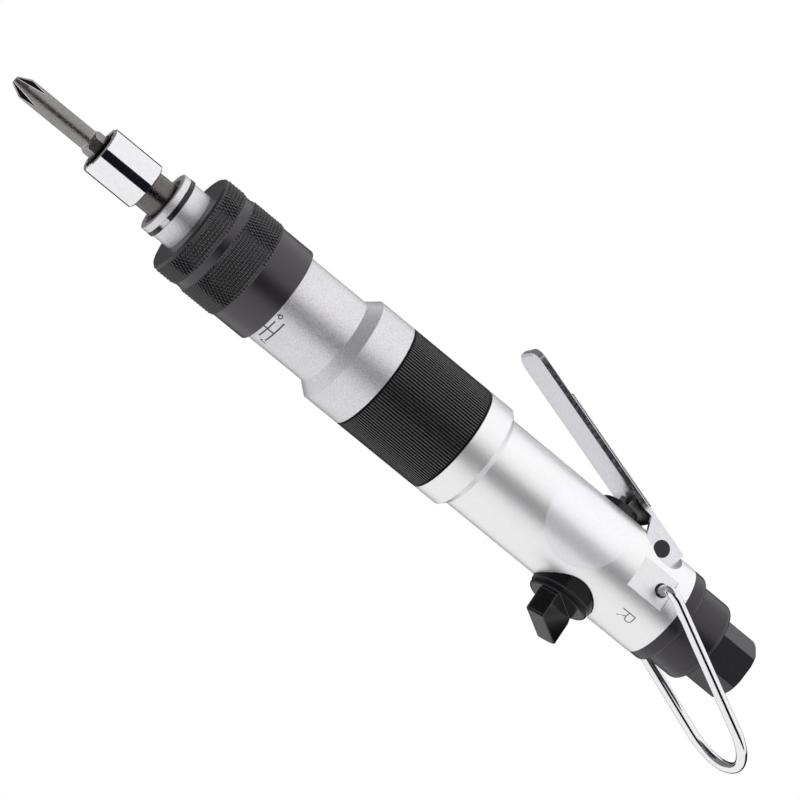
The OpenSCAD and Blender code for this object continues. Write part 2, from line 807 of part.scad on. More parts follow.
// Five vanes, drawn as far in as their slots let them
module vanes() {
  height = rotor_r - vane_root_r - 4 * seat_gap;
  color(fibre)
    around(vane_count, vane_start)
      translate([rotor_x, -vane_t / 2, vane_root_r + seat_gap])
        cube([rotor_end_x - rotor_x, vane_t, height]);
}

// Liner with the off-centre bore that the vanes sweep
module cylinder_liner() {
  port_r = feed_r;
  color(steel)
    difference() {
      rod(ring_r, liner_x, rear_plate_x);
      translate([0, 0, liner_offset])
        rod(liner_bore_r, liner_x - cut, rear_plate_x + cut);
      for (i = [1 : 4])
        post(port_r, 0, ring_r + cut, liner_x + i * liner_len / 5);
    }
}

// Plate that closes the motor behind
module rear_end_plate() {
  color(steel)
    difference() {
      tube(ring_r, shaft_hole_r, rear_plate_x + seat_gap, rear_plate_x + plate_t);
      rod(motor_bearing_r, rear_plate_x + plate_lip, rear_plate_x + plate_t + cut);
      for (side = [-1, 1])
        translate([0, side * exhaust_y, exhaust_z])
          rod(feed_r, rear_plate_x - cut, rear_plate_x + plate_t + cut);
    }
}

// Rear bearing of the rotor
module rear_bearing() {
  x0 = rear_plate_x + plate_t - motor_bearing_w;
  color(tin)
    ball_bearing(motor_bearing_r - seat_gap, shaft_r + run_fit, x0 + seat_gap, motor_bearing_w - seat_gap);
}

// Grip sleeve with its fine lengthwise ribs and plain rims
module grip_sleeve() {
  r = body_d / 2;
  low_r = r - rib_depth;
  rim = 2 * edge;
  top_share = 0.4;
  step = 360 / rib_count;
  outline = [for (i = [0 : rib_count - 1], s = [[-1, low_r], [-top_share, r], [top_share, r]])
    let (a = (i + s[0] / 2) * step)
    s[1] * [cos(a), sin(a)]];
  color(black)
    difference() {
      union() {
        rod(low_r, grip_x + seat_gap, grip_end_x - seat_gap);
        translate([grip_x + rim, 0, 0])
          rotate([0, 90, 0])
            linear_extrude(grip_len - 2 * rim)
              polygon(outline);
      }
      rod(spigot_r + seat_gap, grip_x - cut, grip_end_x + cut);
    }
}

// Milled pocket for an ear of the lever, as a tall block on the tube's middle plane
module ear_pocket() {
  shift = ear_rear - ear_r + 2 * move_gap;
  front = -pocket_toe - pocket_ramp_len;
  arc_first = 3;
  arc_steps = 8;
  bottom = [for (i = [arc_first : 2 * arc_steps + 1])
    let (a = 180 + 90 * (i > arc_steps ? i - 1 : i) / arc_steps)
    [(i > arc_steps ? shift : 0) + pocket_r * cos(a), pocket_r * sin(a)]];
  translate([pin_x, 0, pin_z])
    rotate([-90, 0, 0])
      mirror([0, 1, 0])
        linear_extrude(tube_d)
          polygon(concat([[shift + pocket_r, tube_d], [front, tube_d], [front, pocket_ramp_rise],
            [-pocket_toe, -pocket_toe_drop], [edge / 4 - pocket_toe, -pocket_toe_drop - move_gap]], bottom));
}

// Rear housing: motor chamber, grip seat, band, tube and valve bores
module rear_housing() {
  band_r = body_d / 2;
  r = tube_d / 2;
  front_x = grip_x - spigot_len + seat_gap;
  color(satin)
    difference() {
      turned([[front_x, chamber_r], [front_x, spigot_r - seat_gap], [grip_end_x, spigot_r - seat_gap],
        [grip_end_x, band_r], [band_end_x, band_r], [tube_x, r], [tube_end_x, r], [tube_end_x, shank_r],
        [shank_x, shank_r], [shank_x, air_r], [valve_x, air_r], [valve_x, 0], [chamber_end_x, 0],
        [chamber_end_x, chamber_r]]);
      // Throttle bore and the seat of its bush's head
      post(throttle_r, throttle_floor_z, r + cut, valve_x);
      post(bush_head_d / 2 + seat_gap, bush_head_z, tube_d, valve_x);
      // Bore of the reverse valve and the seat of its knob
      post(valve_r + run_fit, -tube_d, valve_top_z + seat_gap, valve_x);
      post(knob_d / 2 + knob_gap, -tube_d, knob_seat_z + knob_gap, valve_x);
      // Feed and exhaust passages
      for (side = [-1, 1]) {
        translate([0, side * exhaust_y, exhaust_z])
          rod(exhaust_r, chamber_end_x - cut, tube_end_x + cut);
        translate([0, side * valve_r / 2, feed_z])
          rod(feed_r, chamber_end_x - cut, valve_x);
      }
      // Pockets for the lever's ears, beside the tongue that holds its pin
      for (side = [0, 1])
        mirror([0, side, 0])
          translate([0, tongue_half, 0])
            ear_pocket();
      cross_rod(pin_d / 2, -r, r, pin_x, pin_z);
      // Side flats and the bail's holes
      for (side = [0, 1])
        mirror([0, side, 0]) {
          translate([flat_x, flat_half, -r])
            cube([flat_end_x - flat_x, r, tube_d]);
          cross_rod(bail_hole_r, flat_half - bail_hole_depth, flat_half + cut, pivot_x, 0);
        }
    }
}

// Bush that guides the throttle stem and seats the ball
module throttle_bush() {
  color(black)
    difference() {
      union() {
        post(throttle_r - seat_gap, seat_z, bush_top_z - edge, valve_x);
        post(bush_head_d / 2, bush_head_z + seat_gap, bush_top_z, valve_x);
      }
      post(stem_d / 2 + run_fit, 0, bush_top_z + cut, valve_x);
    }
}

// Underside of the lever's web straight above the throttle stem
function web_z() = pin_z + valve_setback * tan(lever_slope) + (lever_back - lever_t) / cos(lever_slope);

// Stem that the lever pushes
module throttle_stem() {
  top_z = web_z() - stem_d / 2 * tan(lever_slope) - lever_gap;
  color(steel)
    post(stem_d / 2, throttle_ball_z + throttle_ball_r, top_z, valve_x);
}

// Valve ball under the stem
module throttle_ball() {
  color(bright)
    translate([valve_x, 0, throttle_ball_z])
      sphere(r = throttle_ball_r);
}

// Spring under the valve ball, drawn as the sleeve of space that its coils fill
module throttle_spring() {
  r = 0.85 * throttle_ball_r;
  top_z = throttle_ball_z - sqrt(throttle_ball_r * throttle_ball_r - r * r / 2) - seat_gap;
  color(steel)
    difference() {
      post(r, throttle_floor_z + seat_gap, top_z, valve_x);
      post(r / sqrt(2), throttle_floor_z - cut, top_z + cut, valve_x);
    }
}

// Sheet-steel lever: a ridged channel with two ears for the pin
module lever() {
  half = lever_w / 2;
  low = lever_back - lever_flange;
  neck_u = ear_front + 2 * lever_t;
  web_low = lever_back - lever_t;
  below = -2 * ear_r;
  ridges = [for (i = [0 : ridge_count - 1], s = [[0, 0], [0.25, 1], [0.6, 1], [0.85, 0]])
    [ear_front + (i + 0.6 + s[0]) * ridge_pitch, lever_back - ridge_h * (1 - s[1])]];
  side = concat([[-ear_rear, 0], [-ear_rear, lever_back - edge], [-ear_rear + edge, lever_back],
    [ear_front, lever_back]], ridges, [[lever_len, lever_back], [lever_len, low], [neck_u, low],
    [ear_front - lever_t / 3, web_low], [ear_toe_u, -ear_toe_v], [ear_r / 2, -0.7 * ear_r], [0, -ear_r / 3]]);
  color(bright)
    translate([pin_x, 0, pin_z])
      rotate([0, lever_slope, 0])
        mirror([1, 0, 0])
          difference() {
            union() {
              intersection() {
                translate([0, half, 0])
                  rotate([90, 0, 0])
                    linear_extrude(lever_w)
                      polygon(side);
                lever_plan(half, lever_len, lever_tip_r, below, lever_back + cut);
              }
              cross_rod(ear_r, -half, half, 0, 0);
              cross_rod(ear_r, -half, half, ear_r - ear_rear, 0);
              translate([ear_r - ear_rear, -half, -ear_r])
                cube([ear_rear - ear_r, lever_w, ear_r]);
            }
            // Inside of the channel
            lever_plan(half - lever_t, lever_len - lever_t, lever_tip_r - lever_t, below, web_low);
            // Open back between the ears
            translate([-ear_rear - cut, lever_t - half, below])
              cube([ear_rear + web_rear + cut, lever_w - 2 * lever_t, lever_back + cut - below]);
            cross_rod(pin_d / 2 + run_fit, -lever_w, lever_w, 0, 0);
          }
}

// Plan of the lever with two round corners at its tip, as a block
module lever_plan(half, length, corner, low, high) {
  translate([-2 * ear_rear, -half, low])
    cube([length - corner + 2 * ear_rear, 2 * half, high - low]);
  translate([0, corner - half, low])
    cube([length, 2 * (half - corner), high - low]);
  for (side = [-1, 1])
    translate([length - corner, side * (half - corner), low])
      cylinder(r = corner, h = high - low);
}

// Pin of the lever, pressed into the housing's tongue
module lever_pin() {
  color(black)
    cross_rod(pin_d / 2 - seat_gap / 5, -lever_w / 2, lever_w / 2, pin_x, pin_z);
}

// Reverse knob: round base and a fin that points to the chosen way
module reverse_knob() {
  r = knob_d / 2;
  body_r = r - knob_rim_step;
  half = knob_fin_len / 2;
  bevel = 1.5 * edge;
  round_top = [for (i = [0 : 6])
    let (a = 15 * i)
    [body_r - knob_round * (1 - cos(a)), knob_round * (1 - sin(a)) - knob_base_z]];
  color(black)
    translate([valve_x, 0, 0])
      union() {
        rotate_extrude()
          polygon(concat([[0, knob_seat_z], [r, knob_seat_z], [r, edge / 2 - knob_rim_z],
            [r - edge / 2, -knob_rim_z], [body_r, -knob_rim_z]], round_top, [[0, -knob_base_z]]));
        rotate([0, 0, knob_turn])
          intersection() {
            rotate_extrude()
              polygon([[0, -knob_rim_z], [body_r - edge, -knob_rim_z], [body_r - edge, -knob_base_z],
                [half, -knob_base_z - 3 * edge], [half, bevel - knob_fin_z], [half - bevel, -knob_fin_z],
                [0, -knob_fin_z]]);
            rotate([90, 0, 90])
              translate([0, 0, -knob_d])
                linear_extrude(2 * knob_d)
                  polygon([[-knob_fin_t / 2, 0], [-knob_fin_t / 2, bevel / 2 - knob_fin_z],
                    [bevel / 2 - knob_fin_t / 2, -knob_fin_z], [knob_fin_t / 2 - bevel / 2, -knob_fin_z],
                    [knob_fin_t / 2, bevel / 2 - knob_fin_z], [knob_fin_t / 2, 0]]);
          }
      }
}

// Rotary plug that the knob turns
module reverse_valve() {
  color(steel)
    difference() {
      post(valve_r, knob_seat_z, valve_top_z - seat_gap, valve_x);
      cross_rod(feed_r, -2 * valve_r, 2 * valve_r, valve_x, feed_z);
    }
}

// Rear cap that lets the exhaust air out round the inlet
module exhaust_cap() {
  r = cap_d / 2;
  step_r = cap_step_d / 2;
  hole_r = shank_r + seat_gap;
  shoulder_x = tube_end_x + cap_rim_len;
  arc = [for (i = [0 : 6]) i * 15];
  outer = concat([[tube_end_x, r]],
    [for (a = arc) [shoulder_x + cap_shoulder_r * sin(a), r - cap_shoulder_r * (1 - cos(a))]],
    [[shoulder_x + cap_shoulder_r, step_r]],
    [for (a = arc) [cap_end_x - cap_corner_r * (1 - sin(a)), step_r - cap_corner_r * (1 - cos(a))]]);
  inner = [[cap_end_x, hole_r], [cap_end_x - cap_wall, hole_r], [cap_end_x - cap_wall, step_r - cap_corner_r],
    [cap_end_x - cap_corner_r - cap_wall, step_r - cap_wall], [tube_end_x, step_r - cap_wall]];
  color(anodised)
    difference() {
      turned(concat(outer, inner));
      around(cap_holes)
        translate([0, 0, step_r - cap_corner_r + cap_hole_r / 2])
          rod(cap_hole_r, cap_end_x - 2 * cap_wall, cap_end_x + cut);
    }
}

// Threaded inlet bushing with its hexagon
module inlet_bushing() {
  corner_r = inlet_af / sqrt(3);
  thread_x = inlet_end_x - inlet_thread_len;
  color(anodised)
    difference() {
      union() {
        intersection() {
          rotate([hex_corner_turn, 0, 0])
            hex_bar(inlet_af, cap_end_x + seat_gap, inlet_end_x);
          turned([[cap_end_x, 0], [cap_end_x, corner_r], [inlet_end_x - 2 * edge, corner_r],
            [inlet_end_x, corner_r - 2.4 * edge], [inlet_end_x, 0]]);
        }
        rod(shank_r - seat_gap, shank_x + seat_gap, cap_end_x + cut / 2);
      }
      rod(air_r, shank_x - cut, inlet_end_x + cut);
      rod(inlet_thread_d / 2, thread_x, inlet_end_x + cut);
      rod(screen_r + seat_gap, thread_x - screen_t - seat_gap, thread_x + cut);
      // Groove of the seal
      tube(shank_r + cut, shank_r - 2 * seal_wire_r, seal_x - seal_wire_r, seal_x + seal_wire_r);
    }
}

// Perforated screen behind the inlet thread
module inlet_screen() {
  x0 = inlet_end_x - inlet_thread_len - screen_t;
  color(bronze)
    difference() {
      rod(screen_r, x0, x0 + screen_t - seat_gap);
      for (ring_share = [0.3, 0.6])
        around(round(20 * ring_share))
          translate([0, 0, ring_share * screen_r])
            rod(screen_hole_r, x0 - cut, x0 + screen_t + cut);
    }
}

// Rubber ring on the inlet bushing
module inlet_seal() {
  color(black)
    translate([seal_x, 0, 0])
      rotate([0, 90, 0])
        rotate_extrude()
          translate([shank_r - seal_wire_r, 0])
            circle(r = 0.97 * seal_wire_r);
}

// Points of a round section: a ring is [x, y, heading], with its centre in the XY plane
function section(ring, r, sides) =
  [for (j = [0 : sides - 1])
    let (a = 360 * j / sides)
    [ring[0] - r * cos(a) * sin(ring[2]), ring[1] + r * cos(a) * cos(ring[2]), r * sin(a)]];

// Bent wire as one closed skin through a list of rings
module wire(rings, r, sides) {
  last = (len(rings) - 1) * sides;
  points = [for (ring = rings) each section(ring, r, sides)];
  walls = [for (k = [0 : len(rings) - 2], j = [0 : sides - 1])
    let (a = k * sides + j)
    let (b = k * sides + (j + 1) % sides)
    each [[a, a + sides, b], [b, a + sides, b + sides]]];
  ends = [for (j = [1 : sides - 2])
    each [[0, j, j + 1], [last, last + j + 1, last + j]]];
  polyhedron(points, concat(walls, ends));
}

// Hanging bail: two inward ends, two bends, two tapered sides and a round end, all in one plane
module bail() {
  r = bail_wire_d / 2;
  bend_steps = 10;
  end_steps = 20;
  tip_y = flat_half - bail_hole_depth + bail_tip_gap;
  end_x = bail_reach - bail_end_r;
  root_y = bail_end_r / cos(bail_taper) + end_x * tan(bail_taper);
  bend_turn = 90 + bail_taper;
  bend_y = root_y - bail_bend_r * (1 / cos(bail_taper) + tan(bail_taper));
  end_turn = 180 - 2 * bail_taper;
  bend = [for (i = [0 : bend_steps])
    let (a = bend_turn * i / bend_steps)
    [bail_bend_r * (1 - cos(a)), bend_y + bail_bend_r * sin(a), 90 - a]];
  round_end = [for (i = [0 : end_steps])
    let (a = bail_taper + end_turn * i / end_steps)
    [end_x + bail_end_r * sin(a), bail_end_r * cos(a), -a]];
  back = [for (i = [bend_steps : -1 : 0]) [bend[i][0], -bend[i][1], -180 - bend[i][2]]];
  rings = concat([[0, bend_y - r, 90]], bend, round_end, back, [[0, r - bend_y, -270]]);
  color(bright)
    translate([pivot_x, 0, 0])
      rotate([0, bail_drop, 0])
        union() {
          wire(rings, r, 12);
          cross_rod(r, tip_y, bend_y - r / 4, 0, 0);
          cross_rod(r, r / 4 - bend_y, -tip_y, 0, 0);
        }
}

bit();
chuck_sleeve();
chuck_spring();
chuck_ball();
chuck_retainer();
spindle();
nose_bush();
snap_ring();
adjust_collar();
push_pins();
thrust_washer();
clutch_spring();
clutch_jaw();
clutch_balls();
planet_carrier();
planet_pins();
planet_gear(planet_places[0]);  // planet_gear_1
planet_gear(planet_places[1]);  // planet_gear_2
planet_gear(planet_places[2]);  // planet_gear_3
ring_gear();
carrier_bearing();
front_housing();
front_end_plate();
front_bearing();
rotor();
vanes();
cylinder_liner();
rear_end_plate();
rear_bearing();
grip_sleeve();
rear_housing();
throttle_bush();
throttle_stem();
throttle_ball();
throttle_spring();
lever();
lever_pin();
reverse_knob();
reverse_valve();
exhaust_cap();
inlet_bushing();
inlet_screen();
inlet_seal();
bail();
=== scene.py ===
import json
import math
import bmesh
import bpy
from mathutils import Matrix, Vector


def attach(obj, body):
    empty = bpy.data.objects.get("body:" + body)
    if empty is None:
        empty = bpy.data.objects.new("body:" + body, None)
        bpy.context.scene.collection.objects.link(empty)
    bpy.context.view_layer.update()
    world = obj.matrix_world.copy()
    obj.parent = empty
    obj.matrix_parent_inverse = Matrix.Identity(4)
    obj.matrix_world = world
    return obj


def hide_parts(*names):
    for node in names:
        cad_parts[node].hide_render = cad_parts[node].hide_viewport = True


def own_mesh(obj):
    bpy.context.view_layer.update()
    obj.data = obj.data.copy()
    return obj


# Pneumatic screwdriver: materials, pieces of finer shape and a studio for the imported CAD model.
# X runs along the tool from the bit to the tail, Z is the lever's side, and the near side is -Y.
# Blender is in metres. Shapes are written in millimetres, and become metres where their points are made.

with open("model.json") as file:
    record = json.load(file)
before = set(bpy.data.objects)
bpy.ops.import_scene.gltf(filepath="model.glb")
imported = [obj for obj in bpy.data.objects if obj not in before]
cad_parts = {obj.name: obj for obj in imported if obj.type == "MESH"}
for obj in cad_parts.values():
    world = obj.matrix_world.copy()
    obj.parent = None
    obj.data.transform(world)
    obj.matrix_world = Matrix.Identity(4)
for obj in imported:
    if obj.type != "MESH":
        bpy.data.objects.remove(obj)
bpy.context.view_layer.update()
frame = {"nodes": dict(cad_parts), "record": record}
nodes = frame["nodes"]
scene = bpy.context.scene
MM = 1000

# Lever's place: slope at rest, and the pin's middle (mm)
SLOPE, PIN_X, PIN_Z = math.radians(16.3), 193.9, 11.7

# ---------------------------------------------------------------- camera
ROLL, TILT, TURN = math.radians(18.0), math.radians(14.1), math.radians(39.39)
IMAGE_SIZE, FOCAL_PIXELS, SENSOR, DISTANCE = 800, 4450, 36.0, 1.225
AXIS = Vector((1, 0, 0))
SIDE = Vector((0, -math.sin(ROLL), math.cos(ROLL)))
NEAR = Vector((0, -math.cos(ROLL), -math.sin(ROLL)))
ALONG = math.cos(TILT) * AXIS + math.sin(TILT) * NEAR
BACK = -math.sin(TILT) * AXIS + math.cos(TILT) * NEAR
RIGHT = math.cos(TURN) * ALONG + math.sin(TURN) * SIDE
UP = -math.sin(TURN) * ALONG + math.cos(TURN) * SIDE
TARGET = Vector((0.1093, 0, 0)) - 0.00088 * SIDE
cam_data = bpy.data.cameras.new("camera")
cam = bpy.data.objects.new("camera", cam_data)
scene.collection.objects.link(cam)
cam_data.sensor_width = SENSOR
cam_data.lens = FOCAL_PIXELS / IMAGE_SIZE * SENSOR
cam_data.clip_start, cam_data.clip_end = 0.1, 20
turned_to_view = Matrix((RIGHT, UP, BACK)).transposed()
cam.matrix_world = Matrix.Translation(TARGET + DISTANCE * BACK) @ turned_to_view.to_4x4()
scene.camera = cam
scene.view_settings.view_transform = "Standard"


# ---------------------------------------------------------------- materials
def tree_of(name):
    """New material with one Principled shader: the material, its node tree and the shader."""
    m = bpy.data.materials.new(name)
    m.use_nodes = True
    t = m.node_tree
    t.nodes.clear()
    out = t.nodes.new("ShaderNodeOutputMaterial")
    p = t.nodes.new("ShaderNodeBsdfPrincipled")
    t.links.new(p.outputs["BSDF"], out.inputs["Surface"])
    return m, t, p


def coords(t, scale=(1, 1, 1)):
    c = t.nodes.new("ShaderNodeTexCoord")
    v = t.nodes.new("ShaderNodeMapping")
    v.inputs["Scale"].default_value = scale
    t.links.new(c.outputs["Object"], v.inputs["Vector"])
    return v.outputs["Vector"]


def noise(t, vec, scale, detail=4.0):
    n = t.nodes.new("ShaderNodeTexNoise")
    n.inputs["Scale"].default_value = scale
    n.inputs["Detail"].default_value = detail
    n.inputs["Roughness"].default_value = 0.55
    t.links.new(vec, n.inputs["Vector"])
    return n.outputs["Fac"]


def remap(t, value, low, high, to_low, to_high):
    r = t.nodes.new("ShaderNodeMapRange")
    r.inputs["From Min"].default_value = low
    r.inputs["From Max"].default_value = high
    r.inputs["To Min"].default_value = to_low
    r.inputs["To Max"].default_value = to_high
    t.links.new(value, r.inputs["Value"])
    return r.outputs["Result"]


def spread(t, grain, to_low, to_high):
    """Noise, which keeps mostly between 0.3 and 0.7, spread over a range."""
    return remap(t, grain, 0.3, 0.7, to_low, to_high)


def calc(t, operation, *values):
    """Math node; each value is a number or the output of another node."""
    n = t.nodes.new("ShaderNodeMath")
    n.operation = operation
    for value, socket in zip(values, n.inputs):
        if isinstance(value, float):
            socket.default_value = value
        else:
            t.links.new(value, socket)
    return n.outputs[0]


def mix(t, fac, a, b):
    """Colour mix; each side is a colour or the output of another node."""
    m = t.nodes.new("ShaderNodeMix")
    m.data_type = "RGBA"
    for side, name in ((a, "A"), (b, "B")):
        if isinstance(side, tuple):
            m.inputs[name].default_value = (*side, 1)
        else:
            t.links.new(side, m.inputs[name])
    t.links.new(fac, m.inputs["Factor"])
    return m.outputs["Result"]


def rounded(t, radius, samples):
    """The surface's normal with its edges rounded."""
    v = t.nodes.new("ShaderNodeBevel")
    v.samples = samples
    v.inputs["Radius"].default_value = radius
    return v.outputs["Normal"]


def edge_mask(t, radius):
    """1 along sharp edges and 0 on the faces between them."""
    face, edge = 0.995, 0.93   # how far the rounded normal still agrees with the face's own
    g = t.nodes.new("ShaderNodeNewGeometry")
    d = t.nodes.new("ShaderNodeVectorMath")
    d.operation = "DOT_PRODUCT"
    t.links.new(rounded(t, radius, 8), d.inputs[0])
    t.links.new(g.outputs["Normal"], d.inputs[1])
    return remap(t, d.outputs["Value"], face, edge, 0.0, 1.0)


def bump(t, height, strength, distance, edge=0.0):
    """Fine relief, over edges rounded to the radius edge."""
    b = t.nodes.new("ShaderNodeBump")
    b.inputs["Strength"].default_value = strength
    b.inputs["Distance"].default_value = distance
    t.links.new(height, b.inputs["Height"])
    if edge:
        t.links.new(rounded(t, edge, 6), b.inputs["Normal"])
    return b.outputs["Normal"]


def finish_of(name, dark, light, metal, rough, grain, depth, stretch=(1, 1, 1), edge=0.0, spec=0.5,
              painted_edge_light=None, relief=0.25, tint=None):
    """A surface with a grain of its own: colour between dark and light, roughness within the range rough,
    and fine bump of the given depth. An optional colour and width paint a highlight along the sharp edges:
    its lighter colour, and how wide it shows."""
    broad_grain, broad_share, fine_share = 60.0, 0.35, 0.65
    m, t, p = tree_of(name)
    fine = noise(t, coords(t, stretch), grain, 2.0)
    broad = noise(t, coords(t), broad_grain, 3.0)
    both = calc(t, "MULTIPLY_ADD", broad, broad_share, spread(t, fine, 0.0, fine_share))
    colour = mix(t, both, dark, light)
    # painted highlight: a lighter colour along the sharp edges
    if painted_edge_light:
        edge_light_colour, width = painted_edge_light
        colour = mix(t, edge_mask(t, width), colour, edge_light_colour)
    t.links.new(colour, p.inputs["Base Color"])
    t.links.new(spread(t, fine, *rough), p.inputs["Roughness"])
    p.inputs["Metallic"].default_value = metal
    p.inputs["Specular IOR Level"].default_value = spec
    if tint:
        p.inputs["Specular Tint"].default_value = (*tint, 1)
    t.links.new(bump(t, fine, relief, depth, edge), p.inputs["Normal"])
    return m


VIOLET = (1.0, 0.93, 1.0)
# dark and light colour, metallic, roughness range, grain, depth of the bump (m), then what is special
FINISHES = {
    "chrome": ((0.80, 0.80, 0.82), (0.90, 0.90, 0.92), 1.0, (0.04, 0.08), 900, 1e-5,
               dict(edge=0.0003)),
    # bit: painted highlight along its edges
    "bit_steel": ((0.17, 0.155, 0.155), (0.44, 0.41, 0.41), 1.0, (0.30, 0.44), 2600, 6e-5,
                  dict(edge=0.0001, painted_edge_light=((0.95, 0.93, 0.93), 0.00022), relief=0.5)),
    # flute walls: near-black as a painted dark reflection, with a painted highlight along their edges
    "flute_painted_dark": ((0.006, 0.006, 0.007), (0.016, 0.015, 0.017), 0.0, (0.3, 0.45), 2600, 3e-5,
                    dict(painted_edge_light=((0.9, 0.88, 0.88), 0.00020), spec=0.3)),
    "dark_steel": ((0.05, 0.045, 0.043), (0.17, 0.15, 0.14), 1.0, (0.26, 0.42), 1800, 4e-5,
                   dict(edge=0.0002, relief=0.4)),
    "satin_aluminium": ((0.88, 0.875, 0.89), (1.0, 0.99, 1.0), 0.84, (0.35, 0.47), 2500, 1e-4,
                        dict(edge=0.00025, relief=0.5)),
    "satin_front": ((0.56, 0.55, 0.57), (0.93, 0.915, 0.935), 0.80, (0.35, 0.48), 2500, 1.3e-4,
                    dict(edge=0.00025, relief=0.6)),
    "black_anodised": ((0.003, 0.003, 0.004), (0.008, 0.0075, 0.009), 0.0, (0.34, 0.46), 3000, 3e-5,
                       dict(edge=0.0002, spec=1.0, tint=VIOLET)),
    "black_cap": ((0.003, 0.003, 0.004), (0.007, 0.0067, 0.008), 0.0, (0.32, 0.46), 3000, 3e-5,
                  dict(edge=0.0003, spec=0.72, tint=VIOLET)),
    # knurl: darker than the plain anodising as painted shade, with a painted highlight along its ridges
    "knurl_painted_shade": ((0.002, 0.002, 0.0025), (0.006, 0.006, 0.007), 0.0, (0.18, 0.26), 3000, 2e-5,
                    dict(spec=0.6, painted_edge_light=((0.21, 0.20, 0.215), 0.00011))),
    # grip: painted highlight along the ribs' edges
    "grip_black": ((0.004, 0.004, 0.005), (0.012, 0.012, 0.014), 0.0, (0.30, 0.42), 2500, 2e-5,
                   dict(edge=0.00022, spec=1.0, painted_edge_light=((0.20, 0.20, 0.21), 0.0001))),
    # painted shade: the groove floors darker and duller than the ribs
    "grip_groove_painted_shade": ((0.002, 0.002, 0.0025), (0.006, 0.006, 0.007), 0.0, (0.5, 0.6), 2500, 2e-5,
                    dict(spec=0.1)),
    "black_steel": ((0.005, 0.005, 0.006), (0.014, 0.014, 0.015), 0.0, (0.24, 0.36), 1500, 2e-5,
                    dict(edge=0.0001, spec=0.4)),
    # knob: painted highlight along its edges
    "knob_plastic": ((0.003, 0.003, 0.0035), (0.007, 0.007, 0.008), 0.0, (0.14, 0.22), 1500, 1e-5,
                     dict(edge=0.0004, spec=0.15, painted_edge_light=((0.09, 0.09, 0.10), 0.0003), relief=0.1)),
    "machined_steel": ((0.22, 0.22, 0.23), (0.40, 0.40, 0.41), 1.0, (0.2, 0.32), 1100, 2e-5, {}),
    "bronze": ((0.26, 0.19, 0.12), (0.40, 0.31, 0.21), 1.0, (0.3, 0.5), 2500, 4e-5, {}),
    "fibre": ((0.33, 0.23, 0.12), (0.46, 0.34, 0.2), 0.0, (0.5, 0.7), 900, 4e-5,
              dict(stretch=(8, 1, 1))),
    "seal_rubber": ((0.02, 0.02, 0.02), (0.04, 0.04, 0.04), 0.0, (0.45, 0.6), 2000, 2e-5, {}),
}
MATERIALS = {name: finish_of(name, *values, **special) for name, (*values, special) in FINISHES.items()}


def spindle_finish():
    """Black at the bit's mouth, bare dark steel behind the sleeve."""
    mouth_end, bare_from = 0.004, 0.008
    m, t, p = tree_of("spindle_steel")
    v = coords(t)
    fine = noise(t, v, 1800, 2.0)
    x = t.nodes.new("ShaderNodeSeparateXYZ")
    t.links.new(v, x.inputs[0])
    bare = mix(t, fine, (0.05, 0.046, 0.048), (0.25, 0.225, 0.222))
    behind = remap(t, x.outputs[0], mouth_end, bare_from, 0.0, 1.0)
    t.links.new(mix(t, behind, (0.012, 0.014, 0.013), bare), p.inputs["Base Color"])
    t.links.new(spread(t, fine, 0.20, 0.34), p.inputs["Roughness"])
    p.inputs["Metallic"].default_value = 1.0
    t.links.new(bump(t, fine, 0.4, 4e-5, 0.00015), p.inputs["Normal"])
    return m


def lever_inside_finish():
    """Satin inside of the lever, with painted shade near the pin: near-black there, fading out further along."""
    black_to, bright_from = 0.0135, 0.0185
    m = finish_of("lever_inside", (0.74, 0.74, 0.78), (0.88, 0.88, 0.93), 0.85, (0.26, 0.38), 1400, 4e-5,
                  relief=0.3)
    t = m.node_tree
    p = next(n for n in t.nodes if n.type == "BSDF_PRINCIPLED")
    bright = p.inputs["Base Color"].links[0].from_socket
    x = t.nodes.new("ShaderNodeSeparateXYZ")
    t.links.new(coords(t), x.inputs[0])
    ahead = calc(t, "MULTIPLY", calc(t, "SUBTRACT", PIN_X / MM, x.outputs[0]), math.cos(SLOPE))
    above = calc(t, "MULTIPLY", calc(t, "SUBTRACT", PIN_Z / MM, x.outputs[2]), math.sin(SLOPE))
    along = calc(t, "SUBTRACT", ahead, above)
    # painted shade: the inside near the pin turns near-black
    black = remap(t, along, black_to, bright_from, 1.0, 0.0)
    t.links.new(mix(t, black, bright, (0.035, 0.034, 0.037)), p.inputs["Base Color"])
    return m


SPINDLE = spindle_finish()
LEVER = finish_of("lever_steel", (0.66, 0.66, 0.70), (0.82, 0.82, 0.86), 1.0, (0.14, 0.24), 900, 1e-5,
                  relief=0.15)
LEVER_INSIDE = lever_inside_finish()

# Nodes with a finish of their own; the others take their record slot's
SLOTS = {s["node"]: s["material_slot"] for s in frame["record"]["subparts"]}
OWN = {"front_housing": MATERIALS["satin_front"], "spindle": SPINDLE, "lever": LEVER,
       "exhaust_cap": MATERIALS["black_cap"], "inlet_bushing": MATERIALS["black_cap"]}
for name, obj in nodes.items():
    obj.data.materials.clear()
    obj.data.materials.append(OWN.get(name, MATERIALS[SLOTS[name]]))
    for p in obj.data.polygons:
        p.material_index = 0


def second_finish(me, material, chosen):
    """Gives a mesh a second material, on the faces that chosen(face) picks."""
    me.materials.append(material)
    for p in me.polygons:
        if chosen(p):
            p.material_index = 1


def on_flute_wall(p):
    """The walls of the bit's four flutes, which are painted near-black as a dark reflection."""
    flutes_end, most_outward, most_forward = -0.0192, 0.8, 0.9
    c, n = p.center, p.normal
    out = Vector((0, c.y, c.z)).normalized()
    return c.x < flutes_end and abs(n.dot(out)) < most_outward and n.x > -most_forward


def on_groove_floor(p):
    """The floors of the grooves between the grip's ribs, which get painted shade."""
    low, high = 0.01644, 0.01672
    return low < math.hypot(p.center.y, p.center.z) < high and abs(p.normal.x) < 0.5


# the flute walls take the near-black finish, a painted dark reflection
second_finish(nodes["bit"].data, MATERIALS["flute_painted_dark"], on_flute_wall)
# the groove floors take the darker finish, painted shade
second_finish(nodes["grip_sleeve"].data, MATERIALS["grip_groove_painted_shade"], on_groove_floor)


